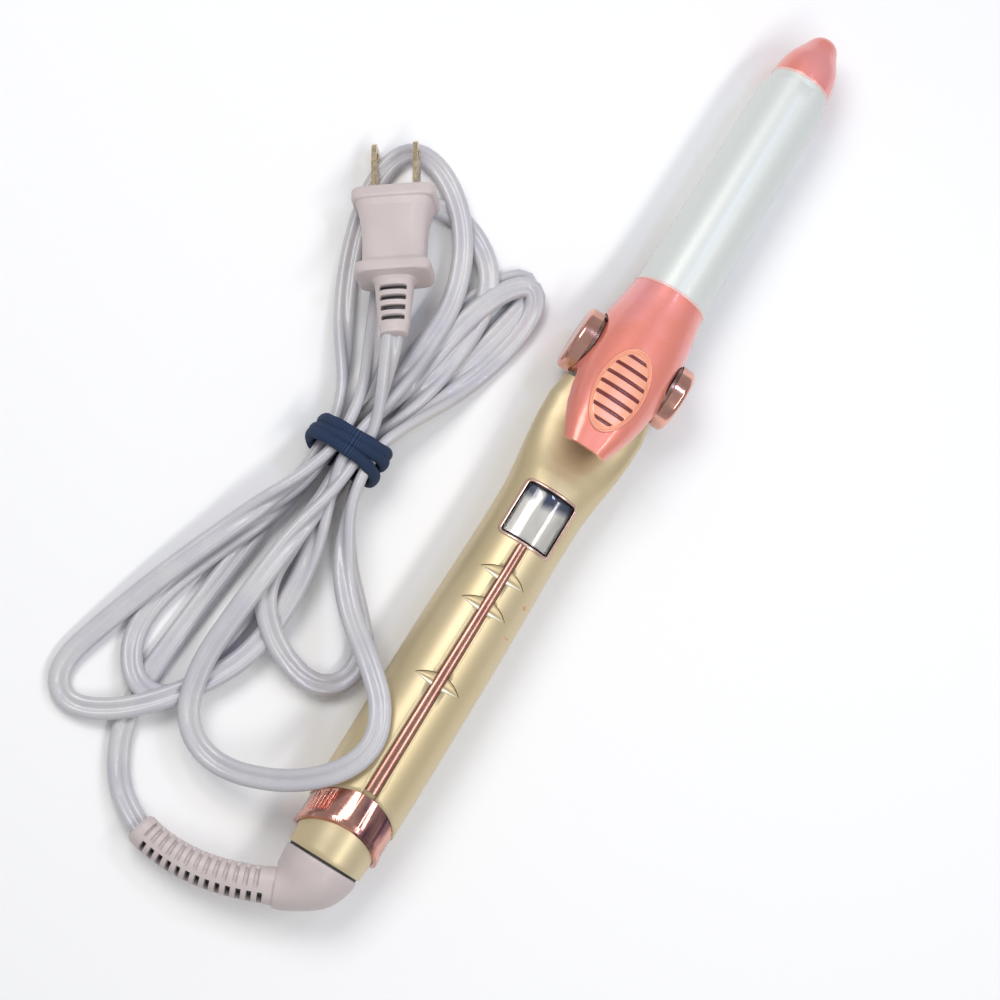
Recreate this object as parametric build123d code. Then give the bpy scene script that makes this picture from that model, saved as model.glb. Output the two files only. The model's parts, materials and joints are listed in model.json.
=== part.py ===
from build123d import *
import math
import os

# Curling iron with a spring clip, lying on a surface with its clip upwards.
# X runs along the iron, + towards the barrel's tip. +Z is up. Z = 0 is the surface it lies on.
# Millimetres. X = 0 is half way along the iron without its cord.

# ---------------------------------------------------------------- driving dimensions
AXIS_Z = 13.7            # height of the handle's and barrel's common axis
WALL = 2.0               # handle shell wall
TIP_X = 152.35           # apex of the barrel's tip cap
TIP_JOINT_X = 134.35     # barrel meets tip cap
BARREL_R = 9.75          # three-quarter inch barrel
BARREL_WALL = 0.8
BARREL_REAR_X = 18.0
FRONT_X = 15.6           # front face of the handle shells
CAP_REAR_X = -144.25     # rear face of the gold end cap
CAP_REAR_R = 11.5
WASHER_R = 11.0           # black washer in the swivel's gap
PIVOT_X = 27.25          # axis of the clip, of the rest and of the two hub discs
PIVOT_Z = AXIS_Z
BOSS_R = 4.0             # bosses that the clip and the rest turn on
RUNNING = 0.05           # radial clearance of every turning fit
DISC_R = 10.3            # copper hub discs
DISC_FACE_Y = 18.9
NECK_R = 10.8            # collar that holds the barrel
CLIP_ROOT_R = 11.75      # clip's outer radius at the lever and at its tip
CLIP_TIP_R = 11.1
CLIP_WALL = 1.0
RIVET_R = 0.9            # blind rivets that hold the clip under the lever's front
RIVET_X = 48.2
RIVET_Y = 3.5
RIVET_TOP_Z = 25.3
RING_R = 13.65           # copper ring round the rear of the handle
RING_SEAT_R = 12.4
WINDOW_X = -28.3         # middle of the display window
WINDOW_L = 19.2
WINDOW_W = 18.0
WINDOW_RIM = 1.5
STRIP_FRONT_X = -37.95   # trim strip from the window to the ring
STRIP_REAR_X = -124.0
STRIP_FRONT_HALF = 1.55    # half widths of the strip at its two ends
STRIP_REAR_HALF = 2.15
BUTTON_X = {"plus_button": -49.05, "minus_button": -59.65, "power_button": -85.25}
BUTTON_W = 14.4
BUTTON_L = 3.8
BUTTON_FRONT = 0.7       # share of the button's length that lies in front of its two points
BUTTON_TRAVEL = 0.6
SPINDLE_R = 4.0
BOARD_Z = 14.2
CORD_R = 2.5             # plain round stand-in for the flat twin cord
PLUG_AT = (23.0, 80.4, 14.2)
PLUG_TURN = (-17.0, 16.0, 29.4)   # roll, nose-down pitch, yaw in degrees

# handle sections: x, half width, height above axis, height below axis, squareness of the top
HANDLE = [
    (-133.0, 13.6, 13.6, 13.6, 2.0),
    (-118.0, 13.85, 13.85, 14.0, 2.0),
    (-80.0, 13.8, 14.0, 14.0, 2.0),
    (-50.0, 13.3, 13.75, 14.0, 2.0),
    (-34.0, 13.0, 13.25, 14.0, 2.0),
    (-22.0, 13.15, 13.1, 14.0, 2.0),
    (-15.0, 13.9, 11.6, 14.0, 2.1),
    (-7.0, 15.05, 8.4, 14.0, 2.4),
    (2.0, 15.9, 6.3, 14.0, 2.8),
    (9.0, 16.1, 5.8, 14.0, 2.8),
    (FRONT_X, 15.0, 5.4, 13.4, 2.8),
]
# thumb lever sections: x, half width, height above axis, squareness
LEVER = [
    (53.0, 12.0, 12.3, 2.0),
    (47.0, 12.9, 12.9, 2.05),
    (40.0, 14.2, 14.1, 2.15),
    (28.0, 15.1, 16.1, 2.35),
    (16.0, 14.4, 18.1, 2.8),
    (6.0, 12.0, 19.5, 3.5),
    (-4.6, 7.8, 20.5, 4.5),
]
LEVER_WALL = 1.7
SCREWS = [(-110.0, 7.6), (-110.0, -7.6), (1.0, 9.0), (1.0, -9.0)]

# the cord's route from the strain relief to the hank
CORD_TAIL = [
    (-163.6, 49.6, 6.0),
    (-160.7, 55.8, 4.4),
    (-156.0, 61.4, 3.0),
    (-149.6, 66.0, 2.6),
    (-141.9, 69.3, 2.6),
    (-133.2, 71.0, 2.6),
]
BOOT_LINE = [
    ((-157.7, 8.1, 13.7), 5.9),
    ((-161.6, 17.6, 12.6), 5.3),
    ((-164.4, 28.0, 10.6), 5.0),
    ((-165.2, 39.0, 8.2), 4.6),
    ((-163.6, 49.6, 6.0), 4.3),
]
# inner and outer side (x, y) of the elbow's sections, which fan round its inner corner
ELBOW_SIDES = [
    ((-148.6, 11.3), (-149.4, -10.9)),
    ((-149.5, 11.2), (-153.6, -9.1)),
    ((-150.5, 11.1), (-158.6, -4.0)),
    ((-151.4, 11.0), (-161.8, 1.4)),
]
ELBOW_R = 11.5
ELBOW_SHOULDER = 1.4               # straight stretch before the elbow turns
TIE_AT = (-38.4, 57.8, 10.2)       # the bundle runs along X through the tie
TIE_L = 11.0
TIE_IN_W = 19.5
TIE_IN_H = 13.4
TIE_WALL = 3.2
HANK_SWING = -1.1                  # degrees by which the loops are swung about HANK_PIVOT in plan
HANK_PIVOT = (30.0, 0.0)

# lower edge of the thumb lever in side view, from under its front to its tail
LEVER_EDGE = [
    (60.0, 14.0), (38.3, 14.0), (38.3, 13.7), (16.35, 13.7), (16.9, 17.0), (17.6, 21.5),
    (16.2, 24.0), (6.0, 26.2), (-6.0, 31.0), (-20.0, 33.0),
]

# compression spring between the handle and the lever
SPRING_X = 6.0
SPRING_Z = 19.1
SPRING_R = 3.4
SPRING_H = 10.6
SPRING_WIRE_R = 0.45
SPRING_TURNS = 5


# ---------------------------------------------------------------- helpers
def along_x(x, y=0.0, z=AXIS_Z):
    return Plane(origin=(x, y, z), x_dir=(0, 1, 0), z_dir=(1, 0, 0))


def rod_x(radius, x0, x1, y=0.0, z=AXIS_Z):
    return along_x(x0, y, z) * Cylinder(radius, x1 - x0, align=(Align.CENTER, Align.CENTER, Align.MIN))


def tube_x(outer, inner, x0, x1):
    return rod_x(outer, x0, x1) - rod_x(inner, x0 - 1, x1 + 1)


def rod_y(radius, y0, y1, x=PIVOT_X, z=PIVOT_Z):
    low, high = sorted((y0, y1))
    plane = Plane(origin=(x, low, z), x_dir=(1, 0, 0), z_dir=(0, 1, 0))
    return plane * Cylinder(radius, high - low, align=(Align.CENTER, Align.CENTER, Align.MIN))


def rod_z(radius, x, y, z0, z1):
    return Pos(x, y, z0) * Cylinder(radius, z1 - z0, align=(Align.CENTER, Align.CENTER, Align.MIN))


def block(x0, x1, y0, y1, z0, z1):
    return Pos(x0, y0, z0) * Box(x1 - x0, y1 - y0, z1 - z0, align=(Align.MIN, Align.MIN, Align.MIN))


def turned(points):
    """A solid turned about the iron's axis from (x, radius) points of a closed outline."""
    outline = Polyline(*[(x, 0, AXIS_Z + r) for x, r in points], close=True)
    return revolve(make_face(outline), Axis((0, 0, AXIS_Z), (1, 0, 0)), 360)


def power(value, exponent):
    return math.copysign(abs(value) ** exponent, value)


def oval(x, half_width, top, bottom, square):
    """Closed section across the handle: an ellipse, squarer above the axis."""
    points = []
    for step in range(24):
        angle = math.radians(15 * step + 7.5)
        exponent = 2 / square if math.sin(angle) > 0 else 1.0
        height = top if math.sin(angle) > 0 else bottom
        y = half_width * power(math.cos(angle), exponent)
        z = AXIS_Z + height * power(math.sin(angle), exponent)
        points.append((x, y, z))
    return make_face(Spline(*points, periodic=True))


def between(table, x):
    """The row of a table at x: cubic Hermite curves through its columns, with no overshoot."""
    rows = sorted(table)
    index = max(i for i, row in enumerate(rows[:-1]) if row[0] <= x + 1e-9)
    low, high = rows[index], rows[index + 1]
    span = high[0] - low[0]
    u = min(1.0, (x - low[0]) / span)

    def slope(i, column):
        if i == 0 or i == len(rows) - 1:
            a, b = (0, 1) if i == 0 else (i - 1, i)
            return (rows[b][column] - rows[a][column]) / (rows[b][0] - rows[a][0])
        left = (rows[i][column] - rows[i - 1][column]) / (rows[i][0] - rows[i - 1][0])
        right = (rows[i + 1][column] - rows[i][column]) / (rows[i + 1][0] - rows[i][0])
        return 0.0 if left * right <= 0 else 2 * left * right / (left + right)

    values = []
    for column in range(1, len(low)):
        m0, m1 = slope(index, column) * span, slope(index + 1, column) * span
        values.append(
            (2 * u ** 3 - 3 * u ** 2 + 1) * low[column] + (u ** 3 - 2 * u ** 2 + u) * m0
            + (3 * u ** 2 - 2 * u ** 3) * high[column] + (u ** 3 - u ** 2) * m1
        )
    return values


def stations(table, step, first=None, last=None):
    """Places along X for the sections: every row of the table, with the gaps filled at about one step."""
    rows = sorted(table)
    first = rows[0][0] if first is None else first
    last = rows[-1][0] if last is None else last
    marks = sorted({first, last} | {row[0] for row in rows if first < row[0] < last})
    places = [marks[0]]
    for low, high in zip(marks, marks[1:]):
        count = max(1, round((high - low) / step))
        places += [low + (high - low) * i / count for i in range(1, count + 1)]
    return places


def handle_form(grow, first=None, last=None):
    """The handle's outside, larger all round by grow."""
    faces = []
    for x in stations(HANDLE, 6.0, first, last):
        w, t, b, square = between(HANDLE, x)
        faces.append(oval(x, w + grow, t + grow, b + grow, square))
    return loft(faces, ruled=True)


def arch(x, half_width, top, square, foot):
    """Section of the lever: an arch over the axis, with straight sides down to a foot below it."""
    points = []
    for step in range(13):
        angle = math.radians(15 * step)
        y = half_width * power(math.cos(angle), 2 / square)
        z = AXIS_Z + top * power(math.sin(angle), 2 / square)
        points.append((x, y, z))
    low = AXIS_Z - foot
    edges = Spline(*points) + Polyline(points[-1], (x, -half_width, low), (x, half_width, low), points[0])
    return make_face(edges)


def lever_form(shrink, stretch=0.0):
    sections = []
    places = stations(LEVER, 4.0)
    for x in places:
        w, t, square = between(LEVER, x)
        shift = -stretch if x == places[0] else (stretch if x == places[-1] else 0.0)
        sections.append(arch(x + shift, w - shrink, t - shrink, square, 6.0))
    return loft(sections, ruled=True)


def side_shape(outline, half_width=30.0):
    """A shape drawn in side view (x, z) and pushed right across the iron."""
    plane = Plane(origin=(0, 0, 0), x_dir=(1, 0, 0), z_dir=(0, -1, 0))
    return extrude(plane * make_face(outline), half_width, both=True)


def lens_plan(x, length, width, z0, z1):
    """Crescent button seen from above: a full arc in front and a flat one behind, that meet in points."""
    half = width / 2
    front = ThreePointArc((x, half), (x + length * BUTTON_FRONT, 0), (x, -half))
    rear = ThreePointArc((x, -half), (x - length * (1 - BUTTON_FRONT), 0), (x, half))
    return Pos(0, 0, z0) * extrude(make_face(front + rear), z1 - z0)


def both_sides(shape):
    return [shape, mirror(shape, Plane.XZ)]


def group(shapes):
    return Compound(children=list(shapes))


# ---------------------------------------------------------------- ring edges, in side view
def ring_front():
    return ThreePointArc((-119.0, AXIS_Z + 18), (-129.45, AXIS_Z), (-131.5, AXIS_Z - 18))


def ring_rear():
    return ThreePointArc((-130.2, AXIS_Z + 18), (-138.45, AXIS_Z), (-139.6, AXIS_Z - 18))


def behind(edge, far_x):
    start, end = edge @ 0, edge @ 1
    return side_shape(edge + Polyline(end, (far_x, end.Y), (far_x, start.Y), start))


# ---------------------------------------------------------------- handle
def window_frame(grow, z0, z1):
    plan = RectangleRounded(WINDOW_L + 2 * grow, WINDOW_W + 2 * grow, 2.1 + grow)
    return Pos(WINDOW_X, 0, z0) * extrude(plan, z1 - z0)


def strip_prism(room=0.0):
    """The strip's wedge-shaped plan pushed up through the handle's top, with some room on both sides."""
    narrow, wide = STRIP_FRONT_HALF + room, STRIP_REAR_HALF + room
    outline = Polyline(
        (STRIP_FRONT_X, narrow), (STRIP_REAR_X, wide), (STRIP_REAR_X, -wide), (STRIP_FRONT_X, -narrow), close=True
    )
    return Pos(0, 0, AXIS_Z + 5) * extrude(make_face(outline), 20)


def handle_body():
    # the hollow stops one section short of the front, which leaves a thick front wall
    body = handle_form(0) - handle_form(-WALL, None, FRONT_X - 6.6) - rod_x(RING_SEAT_R - 1.2, -140, -125)
    body -= block(-200, 60, -40, 40, -5, 0)
    # reduced seat for the copper ring
    body -= behind(ring_front(), -160) - rod_x(RING_SEAT_R, -160, 0)
    body -= rod_x(NECK_R + 0.02, 5, FRONT_X + 1)
    # screw bosses
    for x, y in SCREWS:
        post = rod_z(3.3, x, y, 0.5, 26) & handle_form(-0.5)
        body += post
    for x, y in SCREWS:
        body -= rod_z(2.7, x, y, -1, 4.0)
        body -= rod_z(1.25, x, y, 3, 17.2)
    return body


def handle_shells(body):
    lower = body & block(-200, 60, -40, 40, -5, AXIS_Z)
    upper = body & block(-200, 60, -40, 40, AXIS_Z, 60)
    # display window, trim channel and buttons
    upper -= window_frame(0, AXIS_Z + 3, 40)
    upper -= strip_prism() - handle_form(-1.1)
    for x in BUTTON_X.values():
        upper -= lens_plan(x, BUTTON_L + 0.3, BUTTON_W + 0.5, AXIS_Z + 3, 40)
    # seat of the lever's spring
    upper -= rod_z(SPRING_R + 0.9, SPRING_X, 0, SPRING_Z, 40)
    # holders for the circuit board
    for x in (-96.0, -26.0):
        lower += rod_z(2.0, x, 0, 1.0, BOARD_Z)
    return upper, lower


def end_ring():
    band = behind(ring_front(), -160) - behind(ring_rear(), -160)
    wide = tube_x(RING_R, RING_SEAT_R, -150, -110)
    slim = tube_x(RING_R - 0.35, RING_SEAT_R, -150, -110)
    lip = Pos(1.6, 0, 0) * behind(ring_rear(), -160)
    return (slim & band) + (wide & band & lip)


def end_cap():
    return turned([
        (CAP_REAR_X, SPINDLE_R + RUNNING), (CAP_REAR_X, CAP_REAR_R), (-143.7, CAP_REAR_R + 0.3), (-138.5, 12.15),
        (-133.1, RING_SEAT_R),
        (-133.1, 9.4), (-141.4, 9.4), (-141.4, SPINDLE_R + RUNNING),
    ])


def trim_strip():
    solid = strip_prism() & (handle_form(0.2) - handle_form(-1.1))
    return solid - behind(ring_front(), -160)


def display_bezel():
    ring = window_frame(0, AXIS_Z + 3, 40) - window_frame(-WINDOW_RIM, AXIS_Z, 50)
    return ring & (handle_form(0.25) - handle_form(-WALL))


def display_lens():
    return window_frame(-WINDOW_RIM - 0.02, AXIS_Z + 3, 40) & (handle_form(-0.15) - handle_form(-1.5))


def display_module():
    half_l, half_w = 6.4, 5.4
    shape = block(WINDOW_X - half_l, WINDOW_X + half_l, -half_w, half_w, 20.8, 23.4)
    for dx in (-5.4, 5.4):
        for y in (-4.4, 4.4):
            shape += rod_z(0.6, WINDOW_X + dx, y, BOARD_Z + 1.6, 21)
    return shape


def circuit_board():
    return block(-103, -17, -9, 9, BOARD_Z, BOARD_Z + 1.6)


def dome_switches():
    top = BOARD_Z + 1.6
    return group(block(x - 2.5, x + 2.5, -2.5, 2.5, top, top + 1.6) + rod_z(1.5, x, 0, top, top + 3.0)
                 for x in BUTTON_X.values())


def button(x):
    cap = lens_plan(x, BUTTON_L, BUTTON_W, 21.6, 40) & handle_form(0.15)
    cap -= strip_prism(0.2) - handle_form(-1.25)
    flange = lens_plan(x, BUTTON_L + 1.6, BUTTON_W - 0.4, 21.0, 21.7)
    stem = block(x - 1.6, x + 1.2, -1.6, 1.6, BOARD_Z + 1.6 + 3.0 + BUTTON_TRAVEL + 0.1, 21.2)
    return cap + flange + stem


def shell_screws():
    screws = []
    for x, y in SCREWS:
        head = rod_z(2.55, x, y, 2.2, 4.0) - block(x - 1.8, x + 1.8, y - 0.35, y + 0.35, 1.5, 3.0)
        screws.append(head + rod_z(1.24, x, y, 3.5, 17.0))
    return group(screws)


# ---------------------------------------------------------------- barrel
def barrel_tube():
    return tube_x(BARREL_R, BARREL_R - BARREL_WALL, BARREL_REAR_X, TIP_JOINT_X)


def barrel_tip():
    length = TIP_X - TIP_JOINT_X
    crown = Spline(
        (TIP_JOINT_X, 0, AXIS_Z + BARREL_R), (TIP_JOINT_X + 0.42 * length, 0, AXIS_Z + 8.6),
        (TIP_JOINT_X + 0.76 * length, 0, AXIS_Z + 5.55), (TIP_X, 0, AXIS_Z),
        tangents=[(1, 0, -0.04), (0, 0, -1)],
    )
    closing = Polyline((TIP_X, 0, AXIS_Z), (TIP_JOINT_X, 0, AXIS_Z), (TIP_JOINT_X, 0, AXIS_Z + BARREL_R))
    crown_solid = revolve(make_face(crown + closing), Axis((0, 0, AXIS_Z), (1, 0, 0)), 360)
    spigot = rod_x(BARREL_R - BARREL_WALL, TIP_JOINT_X - 7, TIP_JOINT_X + 0.5)
    return crown_solid + spigot


def barrel_collar():
    body = rod_x(NECK_R, FRONT_X + 0.05, 45.0)
    tongue = rod_x(NECK_R, 5.0, FRONT_X + 0.1) + rod_x(11.7, 5.0, 8.6)
    body += tongue & block(0, 20, -20, 20, -5, AXIS_Z + 2.9)
    for side in (1, -1):
        body += rod_y(BOSS_R, side * 10.2, side * 14.3)
    body -= rod_x(BARREL_R, BARREL_REAR_X, 50)
    body -= rod_x(BARREL_R - 1.2, 0, 50)
    for side in (1, -1):
        body -= rod_y(1.5, side * 10.9, side * 15)
    return body


def hub_screws():
    screw = rod_y(1.5, 10.9, 14.4) + rod_y(4.9, 14.35, 15.4)
    return group(both_sides(screw))


def heater_half(z_side):
    solid = rod_x(BARREL_R - BARREL_WALL, 62, 122)
    solid -= block(60, 124, -6, 6, AXIS_Z - 1.3, AXIS_Z + 1.3)
    keep = block(60, 124, -20, 20, AXIS_Z + 0.25, 40) if z_side > 0 else block(60, 124, -20, 20, -20, AXIS_Z - 0.25)
    solid = solid & keep
    if z_side > 0:
        solid -= rod_x(1.3, 115, 130, 0, AXIS_Z + 5)
    return solid


def heater_plate():
    return block(66, 118, -6, 6, AXIS_Z - 1.3, AXIS_Z + 1.3)


def thermistor():
    return rod_x(1.3, 115, 125, 0, AXIS_Z + 5)


def heater_leads():
    return group(rod_x(0.9, -17, 66, y, AXIS_Z + 0.2) for y in (-3.0, 3.0))


# ---------------------------------------------------------------- clip and lever
def clip():
    length = TIP_JOINT_X - 2.5 - 46.0
    start = 46.0
    outer_plane = along_x(start)
    outer = outer_plane * Cone(CLIP_ROOT_R, CLIP_TIP_R, length, align=(Align.CENTER, Align.CENTER, Align.MIN))
    inner = outer_plane * Cone(
        CLIP_ROOT_R - CLIP_WALL, CLIP_TIP_R - CLIP_WALL, length, align=(Align.CENTER, Align.CENTER, Align.MIN)
    )
    half = (outer - inner) & block(0, 200, -20, 20, AXIS_Z + 0.3, 60)
    # the front end curves back towards its lower corners
    nose = side_shape(
        ThreePointArc((start + length - 4.5, AXIS_Z), (start + length - 2.2, AXIS_Z + 6), (start + length, AXIS_Z + 13))
        + Polyline((start + length, AXIS_Z + 13), (start + length + 9, AXIS_Z + 13), (start + length + 9, AXIS_Z),
                   (start + length - 4.5, AXIS_Z))
    )
    half -= nose
    for y in (-RIVET_Y, RIVET_Y):
        half -= rod_z(RIVET_R, RIVET_X, y, 20, 30)
    return half


def clip_rivets():
    rivets = []
    for y in (-RIVET_Y, RIVET_Y):
        shank = rod_z(RIVET_R, RIVET_X, y, 22.6, RIVET_TOP_Z)
        rivets.append(shank - rod_x(CLIP_ROOT_R - CLIP_WALL - 0.2, 40, 56))
    return group(rivets)


def thumb_lever():
    outer = lever_form(0)
    body = outer - lever_form(LEVER_WALL, 1.0)
    # bearing ears, inside the discs
    ear = rod_y(7.5, 11.2, 12.9) + block(PIVOT_X - 7.5, PIVOT_X + 7.5, 11.2, 12.9, PIVOT_Z, PIVOT_Z + 15)
    ear = ear & lever_form(0.5)
    solid_front = lever_form(0) & block(45.2, 60, -20, 20, AXIS_Z + 0.3, 60)
    # lower edge: hollowed round the discs, clear of the handle's front as it turns, rising to the tail
    rim = Polyline((60, -10), *LEVER_EDGE, (-20, -10), close=True)
    cutter = side_shape(rim) + rod_y(DISC_R + 0.6, -30, 30)
    shell = body - cutter
    front = solid_front - along_x(40) * Cylinder(CLIP_ROOT_R + 0.05, 20, align=(Align.CENTER, Align.CENTER, Align.MIN))
    lever = shell + front
    for one_ear in both_sides(ear):
        lever += one_ear
    lever -= rod_x(CLIP_ROOT_R + 0.05, 45.5, 60)
    lever -= rod_y(BOSS_R + RUNNING, -20, 20)
    for y in (-RIVET_Y, RIVET_Y):
        lever -= rod_z(RIVET_R, RIVET_X, y, 20, RIVET_TOP_Z)
    return lever


def pad_plan(x, length, width):
    """Egg-shaped outline of the grip pad, broader towards the front."""
    half = width / 2
    return Spline(
        (x + length * 0.5, 0), (x + length * 0.28, half * 0.93), (x + length * 0.02, half), (x - length * 0.3, half * 0.72),
        (x - length * 0.5, 0), (x - length * 0.3, -half * 0.72), (x + length * 0.02, -half), (x + length * 0.28, -half * 0.93),
        periodic=True,
    )


def grip_pad():
    plan = Pos(0, 0, 20) * extrude(make_face(pad_plan(16.4, 27.6, 14.6)), 30)
    return plan & (lever_form(-0.7, 0.6) - lever_form(0))


def clip_spring():
    rise = SPRING_H - 2 * SPRING_WIRE_R
    helix = Helix(pitch=rise / SPRING_TURNS, height=rise, radius=SPRING_R,
                  center=(SPRING_X, 0, SPRING_Z + SPRING_WIRE_R))
    section = Plane(origin=helix @ 0, z_dir=helix % 0) * Circle(SPRING_WIRE_R)
    return sweep(section, path=helix)


# ---------------------------------------------------------------- fold-out rest
def stand_leg():
    wire = 1.25
    low = 2.1
    eye_y = 12.95
    points = [
        (PIVOT_X, eye_y, PIVOT_Z), (PIVOT_X + 9.5, eye_y, PIVOT_Z - 8.2), (PIVOT_X + 15.5, 11.6, low + 0.3),
        (58, 9.5, low), (76, 7.0, low), (80.0, 0, low), (76, -7.0, low), (58, -9.5, low),
        (PIVOT_X + 15.5, -11.6, low + 0.3), (PIVOT_X + 9.5, -eye_y, PIVOT_Z - 8.2), (PIVOT_X, -eye_y, PIVOT_Z),
    ]
    path = FilletPolyline(*points, radius=2.6)
    section = Plane(origin=path @ 0, z_dir=path % 0) * Circle(wire)
    leg = sweep(section, path=path)
    for side in (1, -1):
        leg -= rod_y(9.6, side * 8, side * 20)
        leg += rod_y(9.7, side * 13.1, side * 14.3)
        leg -= rod_y(BOSS_R + RUNNING, side * 8, side * 20)
    return leg


def stand_cap(side):
    disc = rod_y(DISC_R, side * 14.3, side * DISC_FACE_Y)
    rim = [edge for edge in disc.edges() if abs(abs(edge.center().Y) - DISC_FACE_Y) < 0.01]
    disc = fillet(rim, 1.5)
    disc -= rod_y(5.2, side * 14.2, side * 15.6)
    return disc


# ---------------------------------------------------------------- swivel and strain relief
def swivel_washer():
    return tube_x(WASHER_R, SPINDLE_R + RUNNING, CAP_REAR_X - 0.8, CAP_REAR_X)


def swivel_spindle():
    return rod_x(SPINDLE_R, -149.5, -119.0) + rod_x(6.5, -141.3, -139.6) - rod_x(2.2, -150, -118)


def slip_rings():
    return group(tube_x(5.2, SPINDLE_R, x, x + 2.0) for x in (-128.0, -123.0))


def contact_brushes():
    brushes = []
    for x, y in ((-127.0, 2.4), (-122.0, -2.4)):
        arm_z = AXIS_Z + 5.2 + RUNNING
        arm = block(x - 0.8, -99.0, y - 1.0, y + 1.0, arm_z, arm_z + 0.8)
        foot = block(-100.0, -99.0, y - 1.0, y + 1.0, BOARD_Z + 1.6, arm_z + 0.8)
        brushes.append(arm + foot)
    return group(brushes)


def boot_section(index, radius):
    point = Vector(*BOOT_LINE[index][0])
    before = Vector(*BOOT_LINE[max(index - 1, 0)][0])
    after = Vector(*BOOT_LINE[min(index + 1, len(BOOT_LINE) - 1)][0])
    direction = after - before
    if index == len(BOOT_LINE) - 1:
        direction = Vector(*CORD_TAIL[1]) - Vector(*CORD_TAIL[0])
    return Plane(origin=point, x_dir=Vector(-direction.Y, direction.X, 0), z_dir=direction) * Circle(radius)


def strain_relief_boot():
    return loft([boot_section(i, radius) for i, (_, radius) in enumerate(BOOT_LINE)])


def elbow_section(inner, outer):
    """Oval across the elbow between its inner and its outer side, each given as (x, y) at the axis height."""
    start, end = Vector(*inner, AXIS_Z), Vector(*outer, AXIS_Z)
    across = end - start
    plane = Plane(origin=(start + end) / 2, x_dir=across, z_dir=across.cross(Vector(0, 0, 1)))
    return plane * Circle(across.length / 2)


def swivel_elbow():
    start_x = CAP_REAR_X - 0.85
    shoulder = rod_x(ELBOW_R, start_x - ELBOW_SHOULDER, start_x)
    shoulder = chamfer([edge for edge in shoulder.edges() if abs(edge.center().X - start_x) < 0.01], 0.3)
    base_x = start_x - ELBOW_SHOULDER
    sides = [((base_x, ELBOW_R), (base_x, -ELBOW_R)), *ELBOW_SIDES]
    turn = loft([elbow_section(inner, outer) for inner, outer in sides] + [boot_section(0, BOOT_LINE[0][1] + 0.3)])
    return shoulder + turn - rod_x(SPINDLE_R, -149.5, -140)


# ---------------------------------------------------------------- cord, tie and plug
def corner_radii(points):
    """The largest arcs that the runs allow: 0.45 of the shorter run over the tangent of half the turn."""
    radii = []
    for before, here, after in zip(points, points[1:], points[2:]):
        first = Vector(*here) - Vector(*before)
        second = Vector(*after) - Vector(*here)
        half_turn = math.radians(first.get_angle(second)) / 2
        radii.append(0.45 * min(first.length, second.length) / math.tan(half_turn))
    return radii


def cord_tail(hank):
    radii = corner_radii(CORD_TAIL)
    print("cord tail radii", [round(r, 1) for r in radii])
    path = FilletPolyline(*CORD_TAIL, radius=radii)
    tube = sweep(Plane(origin=path @ 0, z_dir=path % 0) * Circle(CORD_R), path=path)
    expected = math.pi * CORD_R ** 2 * path.length
    print("cord tail volume over section times length", round(tube.volume / expected, 4))
    return tube - hank


def plug_place():
    return Pos(*PLUG_AT) * Rot(0, 0, PLUG_TURN[2]) * Rot(0, PLUG_TURN[1], 0) * Rot(PLUG_TURN[0], 0, 0)


def plug_body():
    """Plug with its two blades along local +X and its strain relief along local -X."""
    def slab(x, wide, thick, corner):
        plane = Plane(origin=(x, 0, 0), x_dir=(0, 1, 0), z_dir=(1, 0, 0))
        return plane * RectangleRounded(wide, thick, corner)
    flange = Pos(11.5, 0, 0) * Box(4.0, 25.5, 15.0)
    flange = fillet(flange.edges(), 1.4)
    waist = loft([slab(10.5, 21.5, 13.0, 4.0), slab(0.0, 20.5, 12.6, 4.0), slab(-12.5, 19.5, 12.0, 4.0)])
    rear = Pos(-13.5, 0, 0) * Box(4.0, 23.0, 14.0)
    rear = fillet(rear.edges(), 1.4)
    relief = loft([slab(-14.0, 12.0, 8.0, 3.6), slab(-34.0, 8.4, 5.6, 2.6)])
    body = waist + flange + rear + relief
    for y in (-6.35, 6.35):
        body -= Pos(9.5, y, 0) * Box(9.0, 1.5, 6.35)
    return plug_place() * body


def plug_blades():
    blades = []
    for y in (-6.35, 6.35):
        blade = Pos(18.0, y, 0) * Box(26.0, 1.5, 6.35)
        tips = blade.edges().filter_by(Axis.Y).group_by(Axis.X)[-1]
        blade = chamfer(tips, 1.2)
        blade -= Pos(27.0, y, 0) * Rot(90, 0, 0) * Cylinder(1.6, 4)
        blades.append((plug_place() * (blade & (Pos(19.25, y, 0) * Box(28.5, 3, 8)))))
    return group(blades)


def outline_solid(points, z0, z1):
    return Pos(0, 0, z0) * extrude(make_face(Spline(*points, periodic=True)), z1 - z0)


def swung(shape):
    """The loops' shape, swung in plan with the rest of the bundle."""
    return Pos(*HANK_PIVOT, 0) * Rot(0, 0, HANK_SWING) * Pos(-HANK_PIVOT[0], -HANK_PIVOT[1], 0) * shape


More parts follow.
